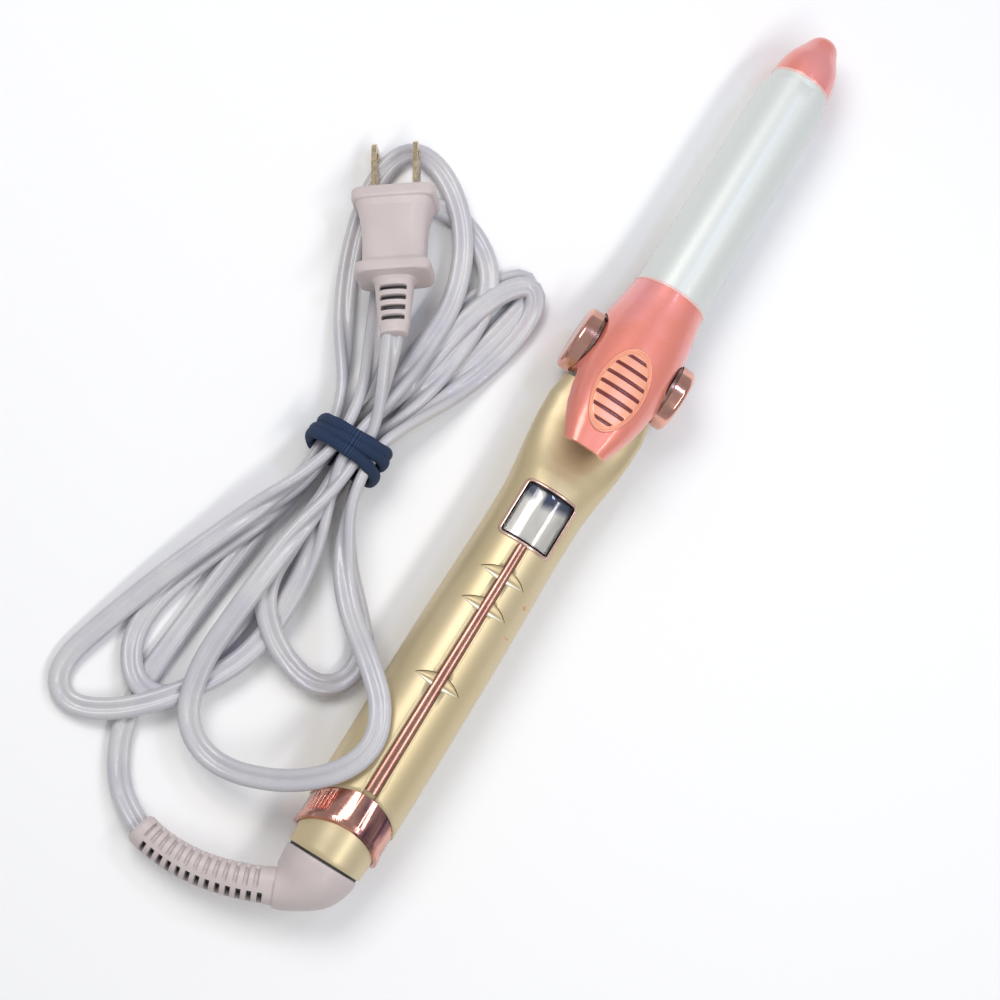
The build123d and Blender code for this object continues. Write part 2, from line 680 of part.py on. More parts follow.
def cord_hank():
    """The looped cord as one plain solid: loops on both sides of the tie and the one that leans on the handle."""
    lower_loops = outline_solid([
        (-30, 64), (-60, 69), (-96, 81), (-120, 90.5), (-139, 95), (-149, 88), (-149, 72), (-141, 55), (-136, 38),
        (-126, 24), (-108, 16), (-92, 15), (-76, 21), (-62, 37), (-48, 46), (-30, 49),
    ], 0, 9.5)
    upper_loops = outline_solid([
        (-48, 64), (-22, 72), (2, 88), (22, 95.5), (42, 98.5), (54, 93), (54, 77), (45, 64), (43, 50), (41, 36),
        (30, 29.5), (14, 30), (-10, 37.5), (-30, 44), (-48, 49),
    ], 0, 8.0)
    # the loop that leans up on the handle's shoulder
    ramp_face = Polyline((50, 0), (50, 7), (14, 31), (4, 32), (4, 22), (15, 0), close=True)
    ramp_plane = Plane(origin=(-136, 0, 0), x_dir=(0, 1, 0), z_dir=(1, 0, 0))
    ramp = extrude(ramp_plane * make_face(ramp_face), 50)
    ramp_plan = outline_solid([
        (-140, 34), (-134, 12), (-116, 2), (-98, 4), (-87, 18), (-90, 44), (-110, 56), (-132, 50),
    ], -1, 40)
    # the last run, from the tie up to the plug's strain relief
    lead_start = along_x(TIE_AT[0] + 16.0, TIE_AT[1] + 0.5, TIE_AT[2] + 2.0) * Rectangle(9.0, 8.0)
    relief_end = Plane(origin=(-34, 0, 0), x_dir=(0, 1, 0), z_dir=(1, 0, 0)) * Rectangle(7.6, 5.0)
    lead = loft([lead_start, plug_place() * relief_end])
    bundle = Pos(*TIE_AT) * Box(34, TIE_IN_W, TIE_IN_H)
    tie_room = Pos(*TIE_AT) * Box(TIE_L + 0.4, 60, 60)
    loops = swung(lower_loops + upper_loops + (ramp & ramp_plan))
    hank = (loops + lead) - tie_room + bundle
    # clear of the handle and of the plug
    hank -= rod_x(14.7, -150, 0)
    hank -= plug_place() * Pos(12.0, 0, 0) * Box(56, 27.5, 17.0)
    hank -= plug_place() * Pos(-24.6, 0, 0) * Box(18.8, 12.6, 9.0)
    return max(hank.solids(), key=lambda solid: solid.volume)


def cord_tie():
    inside = along_x(TIE_AT[0] - TIE_L / 2, TIE_AT[1], TIE_AT[2])
    outer = extrude(inside * RectangleRounded(TIE_IN_W + 2 * TIE_WALL, TIE_IN_H + 2 * TIE_WALL, TIE_WALL + 0.5), TIE_L)
    return outer - Pos(*TIE_AT) * Box(TIE_L + 2, TIE_IN_W, TIE_IN_H)


# ---------------------------------------------------------------- write the parts
def main():
    os.makedirs("parts", exist_ok=True)
    upper, lower = handle_shells(handle_body())
    hank = cord_hank()
    parts = {
        "handle_upper_shell": upper,
        "handle_lower_shell": lower,
        "end_ring": end_ring(),
        "handle_end_cap": end_cap(),
        "trim_strip": trim_strip(),
        "display_bezel": display_bezel(),
        "display_lens": display_lens(),
        "display_module": display_module(),
        "circuit_board": circuit_board(),
        "dome_switches": dome_switches(),
        "shell_screws": shell_screws(),
        "barrel_tube": barrel_tube(),
        "barrel_tip": barrel_tip(),
        "barrel_collar": barrel_collar(),
        "hub_screws": hub_screws(),
        "heater_clamp_upper": heater_half(1),
        "heater_clamp_lower": heater_half(-1),
        "heater_plate": heater_plate(),
        "thermistor": thermistor(),
        "heater_leads": heater_leads(),
        "clip": clip(),
        "clip_rivets": clip_rivets(),
        "thumb_lever": thumb_lever(),
        "grip_pad": grip_pad(),
        "clip_spring": clip_spring(),
        "stand_leg": stand_leg(),
        "stand_cap_left": stand_cap(1),
        "stand_cap_right": stand_cap(-1),
        "swivel_washer": swivel_washer(),
        "swivel_spindle": swivel_spindle(),
        "slip_rings": slip_rings(),
        "contact_brushes": contact_brushes(),
        "swivel_elbow": swivel_elbow(),
        "strain_relief_boot": strain_relief_boot(),
        "cord_tail": cord_tail(hank),
        "cord_hank": hank,
        "cord_tie": cord_tie(),
        "plug_body": plug_body(),
        "plug_blades": plug_blades(),
    }
    for name, x in BUTTON_X.items():
        parts[name] = button(x)
    for name, shape in parts.items():
        export_step(shape, f"parts/{name}.step")


main()
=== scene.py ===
import json

import bmesh
import bpy
import numpy as np
from mathutils import Matrix, Vector


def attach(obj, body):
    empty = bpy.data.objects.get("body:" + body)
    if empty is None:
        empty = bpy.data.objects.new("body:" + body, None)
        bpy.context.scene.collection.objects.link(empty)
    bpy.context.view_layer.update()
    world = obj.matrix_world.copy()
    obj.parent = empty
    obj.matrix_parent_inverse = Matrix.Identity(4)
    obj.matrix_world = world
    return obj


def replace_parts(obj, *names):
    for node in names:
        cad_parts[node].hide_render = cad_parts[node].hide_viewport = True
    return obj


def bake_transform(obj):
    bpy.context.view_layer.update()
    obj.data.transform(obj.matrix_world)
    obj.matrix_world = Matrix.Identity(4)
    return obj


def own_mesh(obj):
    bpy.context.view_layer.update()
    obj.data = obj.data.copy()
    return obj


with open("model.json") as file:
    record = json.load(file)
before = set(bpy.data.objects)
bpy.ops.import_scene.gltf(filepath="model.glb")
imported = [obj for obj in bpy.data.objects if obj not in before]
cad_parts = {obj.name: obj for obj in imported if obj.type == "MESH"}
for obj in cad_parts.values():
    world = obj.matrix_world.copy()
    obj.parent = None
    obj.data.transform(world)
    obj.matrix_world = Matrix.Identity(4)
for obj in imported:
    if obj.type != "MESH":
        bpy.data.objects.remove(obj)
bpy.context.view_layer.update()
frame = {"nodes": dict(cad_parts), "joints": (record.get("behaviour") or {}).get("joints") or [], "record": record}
scene = bpy.context.scene

# ---------------------------------------------------------------- places and sizes, in metres
MM = 0.001
JOINTS = {joint["name"]: joint for joint in frame["joints"]}
AXIS_Z = JOINTS["clip_hinge"]["pos_m"][2]    # the iron's own axis, above the surface that it lies on
PLUG_MOUNT = next(m for m in frame["record"]["mounts"] if m["name"] == "plug_blade_pair")
UP = np.array([0.0, 0.0, 1.0])

# handle: x, half width, height above the axis, squareness (mm)
HANDLE = [(-133, 13.6, 13.6, 2.0), (-118, 13.85, 13.85, 2.0), (-80, 13.8, 14.0, 2.0),
          (-50, 13.3, 13.75, 2.0), (-34, 13.0, 13.25, 2.0), (-22, 13.15, 13.1, 2.0),
          (-15, 13.9, 11.6, 2.1), (-7, 15.05, 8.4, 2.4)]
# thumb lever: the same columns
LEVER = [(53, 12.0, 12.3, 2.0), (47, 12.9, 12.9, 2.05), (40, 14.2, 14.1, 2.15), (28, 15.1, 16.1, 2.35),
         (16, 14.4, 18.1, 2.8), (6, 12.0, 19.5, 3.5), (-4.6, 7.8, 20.5, 4.5)]
CORD_WIDE, CORD_THICK = 6.6 * MM, 3.4 * MM
CORD_STEP = 2.2 * MM             # between the cord's rings
RING_R = 13.65    # the copper ring's outer radius (mm)
SHARP_ANGLE = np.radians(48)     # faces that meet at more than this keep a sharp edge


# ---------------------------------------------------------------- shapes as whole arrays
def smoothstep(low, high, value):
    """0 below low, 1 above high, and the cubic 3t^2 - 2t^3 between them."""
    t = np.clip((value - low) / (high - low), 0, 1)
    return t * t * (3 - 2 * t)


def through(table, x):
    """Smooth curves through a table's columns: cubic Hermite pieces whose slopes are harmonic means."""
    rows = np.array(sorted(table), float) * np.array([MM, MM, MM, 1.0])
    knots, values = rows[:, 0], rows[:, 1:]
    steps = np.diff(values, axis=0) / np.diff(knots)[:, None]
    product, total = steps[:-1] * steps[1:], steps[:-1] + steps[1:]
    middle = np.where(product > 0, 2 * product / np.where(total == 0, 1, total), 0)
    slopes = np.concatenate([steps[:1], middle, steps[-1:]])
    i = np.clip(np.searchsorted(knots, x, side="right") - 1, 0, len(knots) - 2)
    span = (knots[i + 1] - knots[i])[..., None]
    u = ((x - knots[i]) / span[..., 0])[..., None]
    return ((2 * u**3 - 3 * u**2 + 1) * values[i] + (u**3 - 2 * u**2 + u) * span * slopes[i]
            + (3 * u**2 - 2 * u**3) * values[i + 1] + (u**3 - u**2) * span * slopes[i + 1])


def dome(table, x, y):
    """Height of an arched skin: a superellipse across Y.

    Its half width, height and squareness vary along X, as the table says.
    """
    width, top, square = np.moveaxis(through(table, x), -1, 0)
    return AXIS_Z + top * (1 - np.minimum(np.abs(y / width), 1) ** square) ** (1 / square)


def skin(name, rings, marks=None, ends=True, loop=False):
    """A closed mesh over rings[i, j], point j of ring i.

    Quads join the rings. A run has one flat face at each end, and a loop joins its last ring to its first.
    """
    count, around = rings.shape[:2]
    runs = count if loop else count - 1
    i, j = np.meshgrid(np.arange(runs), np.arange(around), indexing="ij")
    after, side = (i + 1) % count, (j + 1) % around
    quads = np.stack([i * around + j, after * around + j, after * around + side, i * around + side], -1)
    quads = quads.reshape(-1, 4)
    faces = quads.tolist()
    if ends and not loop:
        faces += [list(range(around)), list(range((count - 1) * around, count * around))[::-1]]
    mesh = bpy.data.meshes.new(name)
    mesh.from_pydata(rings.reshape(-1, 3).tolist(), [], faces)
    # the marks are painted shading: shade in slots and recesses and a highlight on the keys' lips, with dark paint
    # in some slots
    if marks is not None:
        painted_shading_and_dark_paint = mesh.attributes.new("painted_shading_and_dark_paint", "FLOAT", "POINT")
        painted_shading_and_dark_paint.data.foreach_set("value", marks.ravel().astype(np.float32))
    piece = bpy.data.objects.new(name, mesh)
    scene.collection.objects.link(piece)
    form = bmesh.new()
    form.from_mesh(mesh)
    bmesh.ops.recalc_face_normals(form, faces=form.faces)
    if form.calc_volume(signed=True) < 0:
        bmesh.ops.reverse_faces(form, faces=form.faces)
    form.to_mesh(mesh)
    form.free()
    mesh.shade_smooth()
    mesh.set_sharp_from_angle(angle=SHARP_ANGLE)
    return piece


def slab(name, top, under, marks=None):
    """A closed plate: a grid of points on top, and the same grid lowered by a thickness as its underside."""
    low = top[:, ::-1].copy()
    low[..., 2] -= under
    rings = np.concatenate([top, low], axis=1)
    if marks is not None:
        marks = np.concatenate([marks, np.zeros_like(marks)], axis=1)
    return skin(name, rings, marks)


def frames(line):
    """Unit vectors along a line, to its level side and above it, at each of its points."""
    ahead = np.gradient(line, axis=0)
    ahead /= np.linalg.norm(ahead, axis=1, keepdims=True)
    side = np.cross(UP, ahead)
    side /= np.linalg.norm(side, axis=1, keepdims=True)
    return ahead, side, np.cross(ahead, side)


def evenly(line, step):
    """Points at equal distances along a line, about one step apart."""
    reach = np.concatenate([[0], np.cumsum(np.linalg.norm(np.diff(line, axis=0), axis=1))])
    where = np.linspace(0, reach[-1], int(round(reach[-1] / step)) + 1)
    return np.stack([np.interp(where, reach, line[:, k]) for k in range(3)], -1)


def spline_line(name, points, step):
    """Points along one smooth open spline whose control points are given in millimetres."""
    curve = bpy.data.curves.new(name, "CURVE")
    curve.dimensions = "3D"
    curve.resolution_u = 16
    spline = curve.splines.new("NURBS")
    spline.points.add(len(points) - 1)
    for control, (x, y, z) in zip(spline.points, points):
        control.co = (x * MM, y * MM, z * MM, 1.0)
    spline.order_u = 3
    spline.use_endpoint_u = True
    holder = bpy.data.objects.new(name, curve)
    mesh = bpy.data.meshes.new_from_object(holder)
    line = np.array([vertex.co for vertex in mesh.vertices])
    bpy.data.objects.remove(holder)
    return evenly(line, step)


def refined(node, body, bevel=0.0, angle=32):
    """A finished copy of a CAD piece.

    Its triangles are merged, and faces that meet at less than an angle in degrees are shaded smooth.
    A bevel eases its edges.
    """
    source = frame["nodes"][node]
    piece = bpy.data.objects.new(node + "_finished", source.data.copy())
    scene.collection.objects.link(piece)
    form = bmesh.new()
    form.from_mesh(piece.data)
    bmesh.ops.remove_doubles(form, verts=form.verts, dist=2e-6)
    form.to_mesh(piece.data)
    form.free()
    piece.data.shade_smooth()
    piece.data.set_sharp_from_angle(angle=np.radians(angle))
    if bevel:
        ease = piece.modifiers.new("eased_edges", "BEVEL")
        ease.width = bevel
        ease.segments = 2
        ease.limit_method = "ANGLE"
        ease.angle_limit = np.radians(angle + 8)
        ease.harden_normals = True
    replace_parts(piece, node)
    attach(piece, body)
    return piece


# ---------------------------------------------------------------- finishes
class Finish:
    """One material: a Principled shader, with helpers that add grain, colour drift and relief, and painted shading
    where its mesh marks it.

    All of them are patterns in the piece's own frame.
    """

    def __init__(self, name, colour, rough, metal=0.0, **sockets):
        self.material = bpy.data.materials.new(name)
        self.material.use_nodes = True
        self.nodes, self.links = self.material.node_tree.nodes, self.material.node_tree.links
        self.shader = self.nodes["Principled BSDF"]
        self.colour = (*colour, 1.0)
        self.shader.inputs["Base Color"].default_value = self.colour
        self.shader.inputs["Roughness"].default_value = rough
        self.shader.inputs["Metallic"].default_value = metal
        self.rough = rough
        for socket, value in sockets.items():
            self.shader.inputs[socket.replace("_", " ")].default_value = value
        self.place = self.nodes.new("ShaderNodeTexCoord").outputs["Object"]
        self.height = None

    def noise(self, scale, detail=2.0, stretch=(1, 1, 1)):
        """A soft noise from 0 to 1; a stretch below 1 draws it out along that axis."""
        where = self.nodes.new("ShaderNodeMapping")
        where.inputs["Scale"].default_value = stretch
        texture = self.nodes.new("ShaderNodeTexNoise")
        texture.inputs["Scale"].default_value = scale
        texture.inputs["Detail"].default_value = detail
        self.links.new(self.place, where.inputs["Vector"])
        self.links.new(where.outputs["Vector"], texture.inputs["Vector"])
        return texture.outputs["Fac"]

    def blend_in(self, factor, other):
        """Mixes another colour in by a factor, over what the shader's colour holds so far."""
        mix = self.nodes.new("ShaderNodeMix")
        mix.data_type = "RGBA"
        colour = self.shader.inputs["Base Color"]
        if colour.is_linked:
            self.links.new(colour.links[0].from_socket, mix.inputs["A"])
        else:
            mix.inputs["A"].default_value = self.colour
        mix.inputs["B"].default_value = (*other, 1.0)
        self.links.new(factor, mix.inputs["Factor"])
        self.links.new(mix.outputs["Result"], colour)

    def spread(self, source, low, high, to_low=0.0, to_high=1.0):
        """Maps a value from one range to another, held at both ends."""
        stretch = self.nodes.new("ShaderNodeMapRange")
        ends = {"From Min": low, "From Max": high, "To Min": to_low, "To Max": to_high}
        for socket, value in ends.items():
            stretch.inputs[socket].default_value = value
        self.links.new(source, stretch.inputs["Value"])
        return stretch.outputs["Result"]

    def drift(self, scale, other, low=0.4, high=0.7, stretch=(1, 1, 1)):
        """Lets the colour wander to another one, where a noise is between low and high."""
        self.blend_in(self.spread(self.noise(scale, 3.0, stretch), low, high), other)
        return self

    def uneven_gloss(self, scale, amount):
        """Lets the roughness wander up and down by an amount."""
        gloss = self.spread(self.noise(scale, 4.0), 0.3, 0.7, self.rough - amount, self.rough + amount)
        self.links.new(gloss, self.shader.inputs["Roughness"])
        return self

    def relief(self, scale, depth, strength=0.5, stretch=(1, 1, 1)):
        """Fine raised grain; depth is in metres, and several reliefs lie on each other."""
        bump = self.nodes.new("ShaderNodeBump")
        bump.inputs["Strength"].default_value = strength
        bump.inputs["Distance"].default_value = depth
        self.links.new(self.noise(scale, 2.0, stretch), bump.inputs["Height"])
        if self.height is not None:
            self.links.new(self.height, bump.inputs["Normal"])
        self.height = bump.outputs["Normal"]
        self.links.new(self.height, self.shader.inputs["Normal"])
        return self

    def marked_shading_and_dark_paint(self, marked_colour, low=0.1, high=0.9):
        """Mixes a colour in where the piece's own mesh marks it: a dark one for painted shade, with dark paint
        where the part has it, and a pale one for a painted highlight.
        """
        mark = self.nodes.new("ShaderNodeAttribute")
        mark.attribute_name = "painted_shading_and_dark_paint"
        self.blend_in(self.spread(mark.outputs["Fac"], low, high), marked_colour)
        return self


def champagne_gold():
    finish = Finish("champagne_gold", (0.66, 0.54, 0.32), 0.42, 0.5, Coat_Weight=0.2, Coat_Roughness=0.35)
    finish.drift(40, (0.68, 0.57, 0.36), 0.42, 0.66).drift(9000, (0.54, 0.42, 0.23), 0.55, 0.8)
    return finish.uneven_gloss(3000, 0.03).relief(7000, 0.00002, 0.3)


def key_gold():
    finish = Finish("key_gold", (0.62, 0.50, 0.29), 0.42, 0.4, Coat_Weight=0.2, Coat_Roughness=0.35)
    # the pale colour on each key's raised rear lip is a painted highlight
    finish.drift(9000, (0.54, 0.42, 0.23), 0.55, 0.8).marked_shading_and_dark_paint((0.93, 0.88, 0.72))
    return finish.uneven_gloss(3000, 0.03).relief(7000, 0.00002, 0.3)


def polished_copper():
    finish = Finish("polished_copper", (0.84, 0.45, 0.35), 0.17, 1.0)
    finish.drift(120, (0.62, 0.29, 0.24), 0.45, 0.75)
    return finish.uneven_gloss(900, 0.04).relief(2600, 0.000012, 0.25)


def ring_copper():
    finish = Finish("ring_copper", (0.72, 0.37, 0.30), 0.16, 1.0)
    # the second drift paints dark patches on the ring: painted dark reflections
    finish.drift(120, (0.58, 0.28, 0.23), 0.45, 0.75).drift(75, (0.20, 0.09, 0.11), 0.52, 0.60, (0.35, 1, 1))
    return finish.uneven_gloss(900, 0.04).relief(2600, 0.000012, 0.25)


def strip_copper():
    finish = Finish("strip_copper", (0.46, 0.24, 0.19), 0.24, 0.9)
    finish.drift(260, (0.36, 0.17, 0.14), 0.45, 0.7, (0.3, 1, 1))
    return finish.uneven_gloss(900, 0.04).relief(2600, 0.000012, 0.25)


def window_frame_copper():
    finish = Finish("window_frame_copper", (0.84, 0.60, 0.50), 0.24, 0.8)
    # marked faces go near black: painted shade in the window well
    return finish.drift(300, (0.72, 0.46, 0.37)).marked_shading_and_dark_paint((0.015, 0.008, 0.01)).relief(3000, 0.00001, 0.2)


def coral_gloss():
    finish = Finish("coral_gloss", (0.83, 0.25, 0.185), 0.36, 0.3, Coat_Weight=0.85, Coat_Roughness=0.12)
    finish.drift(45, (0.86, 0.31, 0.30), 0.4, 0.65).drift(11000, (0.92, 0.42, 0.33), 0.6, 0.75)
    return finish.uneven_gloss(700, 0.05).relief(5200, 0.000015, 0.3)


def coral_pad():
    finish = Finish("coral_pad", (0.90, 0.39, 0.25), 0.4, 0.25, Coat_Weight=0.5, Coat_Roughness=0.2)
    # the slots are darkened: painted shade in them, together with the darker paint that they have
    finish.drift(10000, (0.94, 0.48, 0.34), 0.58, 0.75).marked_shading_and_dark_paint((0.16, 0.02, 0.025))
    return finish.relief(5200, 0.000015, 0.3)


def pale_rim():
    finish = Finish("pale_rim", (0.90, 0.58, 0.54), 0.35, 0.1, Coat_Weight=0.5)
    return finish.drift(2500, (0.84, 0.48, 0.44)).relief(5000, 0.00001, 0.2)


def pearl_ceramic():
    finish = Finish("pearl_ceramic", (0.68, 0.705, 0.67), 0.4, 0.12, Coat_Weight=0.3, Coat_Roughness=0.25)
    finish.drift(3200, (0.70, 0.73, 0.70), 0.42, 0.62).drift(7000, (0.50, 0.54, 0.51), 0.6, 0.78)
    return finish.uneven_gloss(1500, 0.06).relief(4200, 0.00004, 0.35)


def cord_plastic():
    finish = Finish("cord_plastic", (0.51, 0.50, 0.54), 0.33, Coat_Weight=0.35)
    finish.drift(60, (0.56, 0.55, 0.56), 0.4, 0.6).drift(1400, (0.48, 0.48, 0.53), 0.55, 0.8)
    return finish.uneven_gloss(800, 0.07).relief(1800, 0.00004, 0.25)


def moulded_grey():
    finish = Finish("moulded_grey", (0.57, 0.49, 0.48), 0.5, Coat_Weight=0.1)
    finish.drift(80, (0.60, 0.52, 0.51), 0.4, 0.6).drift(2500, (0.52, 0.44, 0.44), 0.6, 0.85)
    # near black where marked: painted shade in the slots of the boot and the plug
    finish.marked_shading_and_dark_paint((0.012, 0.011, 0.014))
    return finish.uneven_gloss(1200, 0.06).relief(2600, 0.00004, 0.35)


def braided_elastic():
    finish = Finish("braided_elastic", (0.008, 0.022, 0.06), 0.85, Sheen_Weight=0.06, Sheen_Roughness=0.4)
    finish.shader.inputs["Sheen Tint"].default_value = (0.35, 0.4, 0.6, 1)
    weave = finish.nodes.new("ShaderNodeTexWave")
    weave.inputs["Scale"].default_value = 1.0
    weave.inputs["Distortion"].default_value = 1.2
    weave.inputs["Detail"].default_value = 2.0
    chart = finish.nodes.new("ShaderNodeUVMap")
    chart.uv_map = "run"
    finish.links.new(chart.outputs["UV"], weave.inputs["Vector"])
    finish.blend_in(finish.spread(weave.outputs["Fac"], 0.45, 1.0), (0.025, 0.055, 0.13))
    bump = finish.nodes.new("ShaderNodeBump")
    bump.inputs["Strength"].default_value = 0.7
    bump.inputs["Distance"].default_value = 0.00025
    finish.links.new(weave.outputs["Fac"], bump.inputs["Height"])
    finish.height = bump.outputs["Normal"]
    return finish.relief(9000, 0.0001, 0.5)


def plain_steel():
    finish = Finish("plain_steel", (0.56, 0.56, 0.57), 0.28, 1.0)
    finish.drift(500, (0.46, 0.46, 0.48))
    return finish.uneven_gloss(900, 0.06).relief(3500, 0.00002, 0.3, (0.1, 1, 1))


def bronzed_wire():
    finish = Finish("bronzed_wire", (0.36, 0.22, 0.18), 0.3, 1.0)
    finish.drift(500, (0.28, 0.16, 0.13))
    return finish.uneven_gloss(900, 0.06).relief(3500, 0.00002, 0.3, (0.1, 1, 1))


def blade_brass():
    finish = Finish("blade_brass", (0.72, 0.60, 0.42), 0.25, 1.0)
    finish.drift(400, (0.60, 0.47, 0.30))
    return finish.uneven_gloss(700, 0.08).relief(2400, 0.00003, 0.3, (0.15, 1, 1))


def black_plastic():
    finish = Finish("black_plastic", (0.02, 0.02, 0.022), 0.55)
    return finish.drift(900, (0.035, 0.035, 0.038)).relief(5000, 0.00003, 0.4)


def clear_window():
    finish = Finish("clear_window", (0.97, 0.98, 1.0), 0.03, Transmission_Weight=1.0, IOR=1.45)
    return finish.relief(180, 0.00001, 0.08)


def silver_face():
    finish = Finish("silver_face", (0.80, 0.76, 0.67), 0.42, 0.2, Coat_Weight=0.4, Coat_Roughness=0.2)
    # marked places go dark blue: painted shade at the rim and a painted dark reflection at the front
    finish.drift(160, (0.86, 0.82, 0.73), 0.4, 0.65, (1, 3, 1)).marked_shading_and_dark_paint((0.035, 0.05, 0.11))
    return finish.relief(3000, 0.00001, 0.2)


def board_green():
    finish = Finish("board_green", (0.01, 0.12, 0.05), 0.4, Coat_Weight=0.4)
    return finish.drift(300, (0.02, 0.2, 0.08)).relief(900, 0.00005, 0.4, (1, 6, 1))


def pale_ceramic():
    finish = Finish("pale_ceramic", (0.80, 0.77, 0.70), 0.75)
    return finish.drift(1200, (0.7, 0.66, 0.6)).relief(3000, 0.00005, 0.5)


def extruded_aluminium():
    finish = Finish("extruded_aluminium", (0.70, 0.71, 0.73), 0.35, 1.0)
    return finish.drift(400, (0.60, 0.61, 0.64)).relief(2500, 0.00003, 0.4, (0.05, 1, 1))


def orange_mark():
    finish = Finish("orange_mark", (0.75, 0.30, 0.12), 0.5)
    return finish.drift(3000, (0.66, 0.25, 0.1)).relief(6000, 0.00001, 0.3)


GOLD, KEY_GOLD, COPPER, FRAME_COPPER = champagne_gold(), key_gold(), polished_copper(), window_frame_copper()
RING_COPPER, STRIP_COPPER, BRONZE = ring_copper(), strip_copper(), bronzed_wire()
CORAL, PAD, RIM, PEARL = coral_gloss(), coral_pad(), pale_rim(), pearl_ceramic()
CORD, GREY, ELASTIC, STEEL = cord_plastic(), moulded_grey(), braided_elastic(), plain_steel()
BRASS, BLACK, GLASS, SILVER = blade_brass(), black_plastic(), clear_window(), silver_face()
BOARD, CERAMIC, ALUMINIUM, ORANGE = board_green(), pale_ceramic(), extruded_aluminium(), orange_mark()


def paint(piece, finish):
    piece.data.materials.clear()
    piece.data.materials.append(finish.material)
    return piece


# ---------------------------------------------------------------- camera
CAMERA_AT = Vector((-0.14402, 0.06260, 0.62058))
CAMERA_AIM = Vector((-0.02504, 0.01045, 0.0))
CAMERA_UP = np.radians(31.7)     # the picture's upward direction in the floor plane, from +X towards +Y


def place_camera():
    ahead = (CAMERA_AIM - CAMERA_AT).normalized()
    upward = Vector((np.cos(CAMERA_UP), np.sin(CAMERA_UP), 0.0))
    right = ahead.cross(upward).normalized()
    upward = right.cross(ahead)
    lens = bpy.data.cameras.new("camera")
    lens.lens = 75.02
    lens.sensor_width = 36.0
    lens.clip_start = 0.01
    camera = bpy.data.objects.new("camera", lens)
    scene.collection.objects.link(camera)
    turn = Matrix((right, upward, -ahead)).transposed().to_4x4()
    camera.matrix_world = Matrix.Translation(CAMERA_AT) @ turn
    scene.camera = camera


# ---------------------------------------------------------------- cord, boot, tie and plug
# routes in millimetres
BOOT_LINE = [(-157.7, 8.1, 13.7), (-161.6, 17.6, 12.6), (-164.4, 28.0, 10.6), (-165.2, 39.0, 8.2),
             (-163.6, 49.6, 6.0)]
# the boot's own length from the elbow, and its radius there; its last two places are from its far end (mm)
BOOT_PLACES, BOOT_RADII = [0, 4, 37, 40, -1.0, 0], [5.5, 5.3, 4.75, 4.8, 4.8, 4.3]
BOOT_ROLL = np.radians(28.0)     # the slot rows are turned this far round the boot
BOOT_SLOT_PITCH, BOOT_SLOTS_FROM, BOOT_SLOTS_TO = 2.9 * MM, 2.4 * MM, 40.2 * MM
# depth of the slots and the painted shade inside them: in the open rows, and in the blind rows between them
OPEN_SLOTS, BLIND_SLOTS = (2.3 * MM, 1.0), (0.8 * MM, 0.18)
CORD_TAIL = [(-163.6, 49.6, 6.0), (-160.7, 55.8, 4.4), (-156, 61.4, 3.0), (-149.6, 66.0, 2.6),
             (-141.9, 69.3, 2.6), (-133.2, 71.0, 2.6)]
# the cord stands on edge this near to the tie, and lies level this far from it
ON_EDGE_WITHIN, LEVEL_BEYOND = 11 * MM, 40 * MM
TIE_AT = (-38.4, 57.8, 10.2)
TIE_HALF_LENGTH = 5.5
HANK_SWING = np.radians(-1.1)    # the loops are swung about this place in plan
HANK_PIVOT = (30.0, 0.0)
STRAND_GAP, LOW_STRAND, HIGH_STRAND = 3.75, 6.9, 13.5
